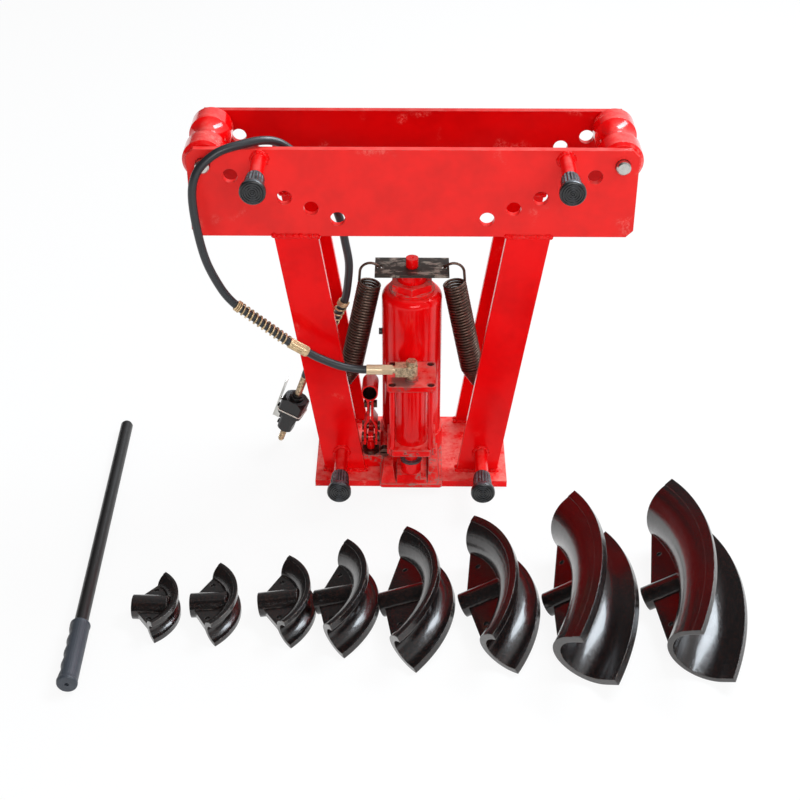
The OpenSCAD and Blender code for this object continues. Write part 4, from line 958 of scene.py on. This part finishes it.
class BenderAirLine(bpy.types.Operator):
    """Air hose from the air pump over the frame to the control valve, with its sleeves and guard springs"""

    bl_idname = "bender.air_line"
    bl_label = "Air line"

    def execute(self, context):
        s = sizes()
        route = [point(*p) for p in HOSE_ROUTE]
        ends = [VALVE_TOP + s.hose_d * VALVE_UP, VALVE_TOP]
        path = smooth_path([point(*HOSE_START)] + route + ends, 8)
        hose = solid("hose_tube", *tube(path, s.hose_d / 2, 20), hose_rubber())
        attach(hose, "frame")
        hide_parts("air_hose")
        sleeves = self.sleeves(route)
        guards = self.guards(route)
        band = self.band()
        nipple = self.nipple()
        tuple(path[0])
        path_length(path)
        [tuple(p) for p in path]
        return {"FINISHED"}

    def sleeves(self, route):
        """Fluted sleeves that end the guard springs."""
        flutes = sizes().sleeve_flutes

        def fluted(row, along, radius, angle):
            return radius - (0.8 * MM * (0.5 + 0.5 * math.cos(flutes * angle)) if radius > 7.4 * MM else 0)

        shapes = []
        for a, b in (UPPER_SLEEVE, LOWER_SLEEVE):
            axis = route[b] - route[a]
            whole = axis.length
            profile = [(0, 6.05), (0, 7.0), (0.5, 7.3), (1.2, 8.0), (6, 8.0), (12, 8.0)]
            profile = [(along * MM, r * MM) for along, r in profile]
            profile += [(whole - along, r) for along, r in reversed(profile)]
            profile.append(profile[0])
            shapes.append(turned(profile, flutes * 6, route[a], axis.normalized(), fluted))
        made = solid("sleeves_fluted", *joined(shapes), yellow_zinc())
        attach(made, "frame")
        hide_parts("hose_sleeves")
        return made

    def guards(self, route):
        """Guard springs: open turns, closed up at the far end."""
        s = sizes()
        radius = s.hose_d / 2 + 0.0002 + s.guard_wire / 2
        steps, closed_turns = 18, 2.5
        open_turns = s.guard_turns - closed_turns
        paths = []
        for a, b in (UPPER_GUARD, LOWER_GUARD):
            axis = (route[b] - route[a]).normalized()
            start = route[a] + 0.003 * axis
            run = (route[b] - route[a]).length - 0.006
            first, second = sides_of(axis)
            closed = closed_turns * s.guard_wire * 1.12 / run
            path = []
            for k in range(s.guard_turns * steps + 1):
                turn = k / steps
                if turn < open_turns:
                    f = (1 - closed) * turn / open_turns
                else:
                    f = 1 - closed + closed * (turn - open_turns) / closed_turns
                around = spoke(first, second, 2 * math.pi * turn)
                path.append(start + axis * run * f + radius * around)
            paths.append(path)
        made = grown("guard_coils", paths, wire_along_path(), wire_radius=s.guard_wire / 2, sides=8,
                     finish=yellow_zinc())
        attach(made, "frame")
        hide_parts("hose_guard_springs")
        return made

    def band(self):
        """Pale wire band round the valve's head, a little askew."""
        ring, steps = [], 72
        for k in range(steps):
            angle = 2 * math.pi * k / steps
            across, deep = abs(math.cos(angle)), abs(math.sin(angle))
            r = 0.6 + min(19 / max(across, 0.01), 16 / max(deep, 0.01), 22.8)
            up = 69 + 2.0 * math.cos(angle + 0.5)
            ring.append(valve_point(r * math.cos(angle), r * math.sin(angle), up))
        pale = rubber("band_paint", "band", 0.4, relief=0.05)
        made = grown("valve_band", [ring], wire_along_path(), closed=True, wire_radius=1.0 * MM, sides=10,
                     finish=pale)
        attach(made, "frame")
        return made

    def nipple(self):
        """Turned nipple with ridges that grip an air line."""
        profile = [(0, 0), (0, 2.6), (0, 3.4), (0.7, 4.0)]
        for k in range(5):
            ridge = (1.0, 4.1), (4.0, 4.9), (4.5, 4.9), (4.6, 4.1)
            profile += [(along + 3.6 * k, r) for along, r in ridge]
        profile += [(20.4, 4.2), (20.8, 5.0), (25, 5.0), (25, 0)]
        profile = [(a * MM, r * MM) for a, r in profile]
        made = solid("nipple_ridged", *turned(profile, 40, VALVE_FOOT, VALVE_UP), stained_zinc())
        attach(made, "frame")
        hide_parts("valve_nipple")
        return made


class BenderSprings(bpy.types.Operator):
    """Return springs between the spring plate and the frame, and the air pump's own spring"""

    bl_idname = "bender.springs"
    bl_label = "Springs"

    def execute(self, context):
        s = sizes()
        for side, name in ((-1, "left"), (1, "right")):
            path = [Vector((side * p.x, p.y, p.z)) for p in self.return_path(s.spring_turns)]
            coil = grown(name + "_coil", [path], wire_along_path(), wire_radius=s.spring_wire / 2, sides=8,
                         finish=spring_steel())
            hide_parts(name + "_return_spring")
            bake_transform(coil)
        low, high = AIR_SPRING_Z
        turns, steps = 11, 24
        path = []
        for k in range(turns * steps + 1):
            f, angle = k / (turns * steps), 2 * math.pi * k / steps
            x, y = AIR_SPRING_R * math.cos(angle), AIR_PUMP_Y + AIR_SPRING_R * math.sin(angle)
            path.append(point(x, y, low + (high - low) * f))
        coil = grown("air_pump_coil", [path], wire_along_path(), wire_radius=AIR_SPRING_WIRE_R * MM, sides=8,
                     finish=spring_steel())
        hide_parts("air_pump_spring")
        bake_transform(coil)
        return {"FINISHED"}

    def return_path(self, turns):
        """Hook over the plate, close turns, cone and ring round the anchor rod, on the right."""
        hook = [self.on_ring(HOOK_X, HOOK_Z, HOOK_R, a) for a in range(180, -1, -12)]
        top, foot = point(SPRING_TOP[0], 0, SPRING_TOP[1]), point(SPRING_FOOT[0], 0, SPRING_FOOT[1])
        axis = (foot - top).normalized()
        out = Vector((1, 0, 0))
        first = (out - out.dot(axis) * axis).normalized()
        second = axis.cross(first)
        coil, steps = [], 20
        for k in range(turns * steps + 1):
            f = k / (turns * steps)
            cone = max(0.0, (f - 1 + CONE_SHARE) / CONE_SHARE)
            r = (SPRING_R + (SPRING_TIP_R - SPRING_R) * cone) * MM
            coil.append(top + (foot - top) * f + r * spoke(first, second, 2 * math.pi * k / steps))
        ring = [self.on_ring(ANCHOR_X, ANCHOR_Z, RING_R, a) for a in range(180, 451, 15)]
        lead = smooth_path([hook[-2], hook[-1], coil[0], coil[1]], 6)[6:12]
        tail = smooth_path([coil[-2], coil[-1], ring[0], ring[1]], 6)[7:12]
        return hook[:-1] + lead + coil + tail + ring

    def on_ring(self, x, z, r, degrees):
        """Point of a ring in the springs' plane."""
        angle = math.radians(degrees)
        return point(x + r * math.cos(angle), 0, z + r * math.sin(angle))


class BenderPegCaps(bpy.types.Operator):
    """Rubber caps on the frame's pegs: ribbed neck, flared foot, ringed face"""

    bl_idname = "bender.peg_caps"
    bl_label = "Peg caps"

    def execute(self, context):
        ribs = sizes().cap_ribs
        face = [(0.6, 0), (0.6, 1.4)]
        for r in (1.9, 5.2, 8.5, 11.8):
            face += [(1.7, r), (0.2, r + 0.5), (0.0, r + 1.1), (0.2, r + 1.7), (1.7, r + 2.2)]
        rim = [(1.6, 14.6), (0.1, 15.1), (0.2, 16.2), (1.0, 17.2), (2.4, 17.9), (4.4, 18.0), (8.4, 17.8),
               (10.2, 17.2)]
        neck = [(12.2, 15.6), (13.6, 14.7), (16, 14.5), (22, 14.3), (30, 13.9), (38, 13.5), (41, 13.3),
                (42.6, 12.9)]
        mouth = [(CAP_L - 0.8, 12.6), (CAP_L, 12.0), (CAP_L, 10.3), (CAP_L - 0.8, 10.08), (CAP_FLOOR, 10.08),
                 (CAP_FLOOR, 0)]
        profile = [(a * MM, r * MM) for a, r in face + rim + neck + mouth]
        start = len(face + rim)
        stop = start + len(neck)

        def ribbed(row, along, radius, angle):
            if not start <= row < stop:
                return radius
            wave = 0.5 + 0.5 * math.cos(ribs * angle)
            edge = 1.0 if start < row < stop - 1 else 0.4
            return radius - edge * 1.5 * MM * (1 - wave ** 0.6)

        faces = [point(x, CAP_FACE_Y, z) for x, z in PEGS]
        shapes = [turned(profile, ribs * 8, at, Vector((0, 1, 0)), ribbed) for at in faces]
        caps = solid("peg_caps_ribbed", *joined(shapes), cap_rubber())
        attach(caps, "frame")
        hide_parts("peg_caps")
        return {"FINISHED"}


class BenderGrip(bpy.types.Operator):
    """Rubber grip of the pump handle with finger rests and a hung end"""

    bl_idname = "bender.grip"
    bl_label = "Handle grip"

    def execute(self, context):
        pitch = math.atan((GRIP_D - BAR_D) / 2 / (HANDLE_LENGTH - GRIP_L))
        turn = Matrix.Rotation(math.radians(1.5), 3, "Z") @ Matrix.Rotation(-pitch, 3, "X")
        tip = point(*HANDLE_TIP, BAR_D / 2 * math.cos(pitch))
        axis = turn @ Vector((0, 1, 0))
        end = tip - axis * HANDLE_LENGTH * MM
        fingers, step = 4, GRIP_L / 5
        rows = [(5, 0), (5, 2.5), (0.6, 2.5), (0, 3.0), (0, 11.6), (0.5, 13.0), (1.6, 13.8), (3.2, 14.0),
                (6.0, 13.9), (6.8, 13.3)]
        rows += [(8 + 1.6 * k, 13.3) for k in range(65)]
        rows += [(112.4, 13.5), (113.2, 13.9), (114.6, 13.9), (115.6, 13.4), (116, 12.6), (116, 9.8),
                 (100, 9.6), (6, 9.6), (6, 0)]
        profile = [(a * MM, r * MM) for a, r in rows]

        def finger_rests(row, along, radius, angle):
            a = along / MM
            if radius < 12.2 * MM or not 4 < a < 113:
                return radius
            to_fingers = angle - FINGER_SIDE
            to_fingers = math.atan2(math.sin(to_fingers), math.cos(to_fingers))
            side = math.exp(-((to_fingers / 0.75) ** 2))
            dip = sum(math.exp(-(((a - step * (i + 1)) / 8.2) ** 2)) for i in range(fingers))
            flute = 0.18 * (0.5 + 0.5 * math.cos(28 * angle)) * (1 - side)
            return radius + MM * (side * (0.7 - 2.6 * dip) - flute)

        grip = solid("grip_moulded", *turned(profile, 112, end, axis, finger_rests), grip_rubber())
        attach(grip, "handle")
        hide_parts("handle_grip")
        return {"FINISHED"}


class BenderDieRims(bpy.types.Operator):
    """Raised rims along the upper lips of the dies"""

    bl_idname = "bender.die_rims"
    bl_label = "Die rims"

    def execute(self, context):
        rise = sizes().rim_rise / MM
        for number, (bend_r, w, arc, lip, stub, along, before, swing) in enumerate(DIES, 1):
            end = math.radians(arc)
            lean = self.lean(w, math.cos(end), stub)
            slope = math.cos(end) * math.sin(lean)
            lift = w * math.hypot(slope, math.cos(lean)) - bend_r * slope
            centre = point(ROW_L * along, -ROW_FORE * before, lift)
            turn = Euler((0, -lean, math.radians(swing))).to_matrix()
            section = [(bend_r + out, up) for out, up in self.section(w, lip, rise)]
            steps, points = 48, []
            for k in range(steps + 1):
                a = end * (2 * k / steps - 1)
                points += [centre + turn @ point(r * math.cos(a), r * math.sin(a), up) for r, up in section]
            rim = solid("die_%d_rim" % number, points, swept(steps + 1, len(section)), cast_black())
            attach(rim, "die_%d" % number)
        return {"FINISHED"}

    def lean(self, w, c, stub):
        """Slope of a die that lies on its ends' backs and on its stub."""
        a, b, k = (w * c) ** 2 - stub * stub, STUB_R * stub, w * w - STUB_R * STUB_R
        return math.atan(k / (b + math.sqrt(b * b - a * k)))

    def section(self, w, lip, rise):
        """Rim's section, out from the bend radius and up from the web."""
        width, sunk, rows = 1 + 0.24 * w, 0.6, 6
        if lip:
            top = [(lip, w + rise), (lip - width, w + rise)]
            return top + [(lip - width - rise, w - sunk), (lip, w - sunk)]
        spread = [width / w * k / rows for k in range(rows + 1)]
        top = [(-(w + rise) * math.sin(t), (w + rise) * math.cos(t)) for t in spread]
        return top + [(-(w - sunk) * math.sin(t), (w - sunk) * math.cos(t)) for t in reversed(spread)]


class BenderWelds(bpy.types.Operator):
    """Weld beads where legs, pegs and rods meet the plates"""

    bl_idname = "bender.welds"
    bl_label = "Weld beads"

    def execute(self, context):
        s = sizes()
        rows = []
        for side in (-1, 1):
            for y in (FRONT_Y, FRONT_Y + PLATE_T, REAR_Y - PLATE_T, REAR_Y):
                for x, z in ((LEG_TOP_X, PLATE_Z), (LEG_FOOT_X, BASE_T)):
                    rows.append(self.line(side * (x - LEG_W / 2), side * (x + LEG_W / 2), y, z))
            for y in (-ANCHOR_Y, ANCHOR_Y):
                rows.append(self.ring(side * ANCHOR_X, y, ANCHOR_Z, ANCHOR_R))
        for x, z in PEGS:
            rows.append(self.ring(x, FRONT_Y, z, PEG_R))
        beads = grown("weld_beads", rows, weld_along_path(), ripple=s.weld_step, width=s.weld_width, seed=7,
                      finish=red_paint())
        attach(beads, "frame")
        return {"FINISHED"}

    def line(self, x0, x1, y, z):
        """Bead along X, with a slight wander."""
        steps = 24
        return [point(x0 + (x1 - x0) * k / steps, y, z + 0.9 * math.sin(k * 1.7 + x0))
                for k in range(steps + 1)]

    def ring(self, x, y, z, r):
        """Bead round a peg or rod."""
        angles = [k * math.pi / 16 for k in range(33)]
        return [point(x + r * math.cos(a), y, z + r * math.sin(a)) for a in angles]


class BenderPaint(bpy.types.Operator):
    """Finishes of the pieces that keep their own solids"""

    bl_idname = "bender.paint"
    bl_label = "Paint and metal"

    def execute(self, context):
        done = set()
        for make, names in NODE_FINISHES:
            for name in names.split():
                mesh = NODES[name].data
                if len(mesh.materials):
                    for i in range(len(mesh.materials)):
                        mesh.materials[i] = make()
                else:
                    mesh.materials.append(make())
                done.add(name)
        left = sorted(set(NODES) - done)
        if left:
            raise RuntimeError("no finish for " + ", ".join(left))
        return {"FINISHED"}


class BenderPanel(bpy.types.Panel):
    """Sizes, colours and pieces of the pipe bender"""

    bl_idname = "VIEW3D_PT_bender"
    bl_label = "Pipe bender"
    bl_space_type = "VIEW_3D"
    bl_region_type = "UI"
    bl_category = "Bender"

    def draw(self, context):
        for group in (context.scene.bender_sizes, context.scene.bender_finishes, context.scene.bender_stage):
            box = self.layout.box()
            for key in group.__annotations__:
                box.prop(group, key)
        for operator in PIECES:
            self.layout.operator(operator.bl_idname)


PIECES = (
    BenderStageMake, BenderAirLine, BenderSprings, BenderPegCaps,
    BenderGrip, BenderDieRims, BenderWelds, BenderPaint,
)
GROUPS = {"bender_finishes": BenderFinishes, "bender_sizes": BenderSizes, "bender_stage": BenderStage}


def register():
    for cls in (*GROUPS.values(), *PIECES, BenderPanel):
        bpy.utils.register_class(cls)
    for name, cls in GROUPS.items():
        setattr(bpy.types.Scene, name, bpy.props.PointerProperty(type=cls))


def unregister():
    for name in GROUPS:
        delattr(bpy.types.Scene, name)
    for cls in reversed((*GROUPS.values(), *PIECES, BenderPanel)):
        bpy.utils.unregister_class(cls)


def main():
    register()
    for operator in PIECES:
        family, name = operator.bl_idname.split(".")
        getattr(getattr(bpy.ops, family), name)()


if __name__ == "__main__":
    main()
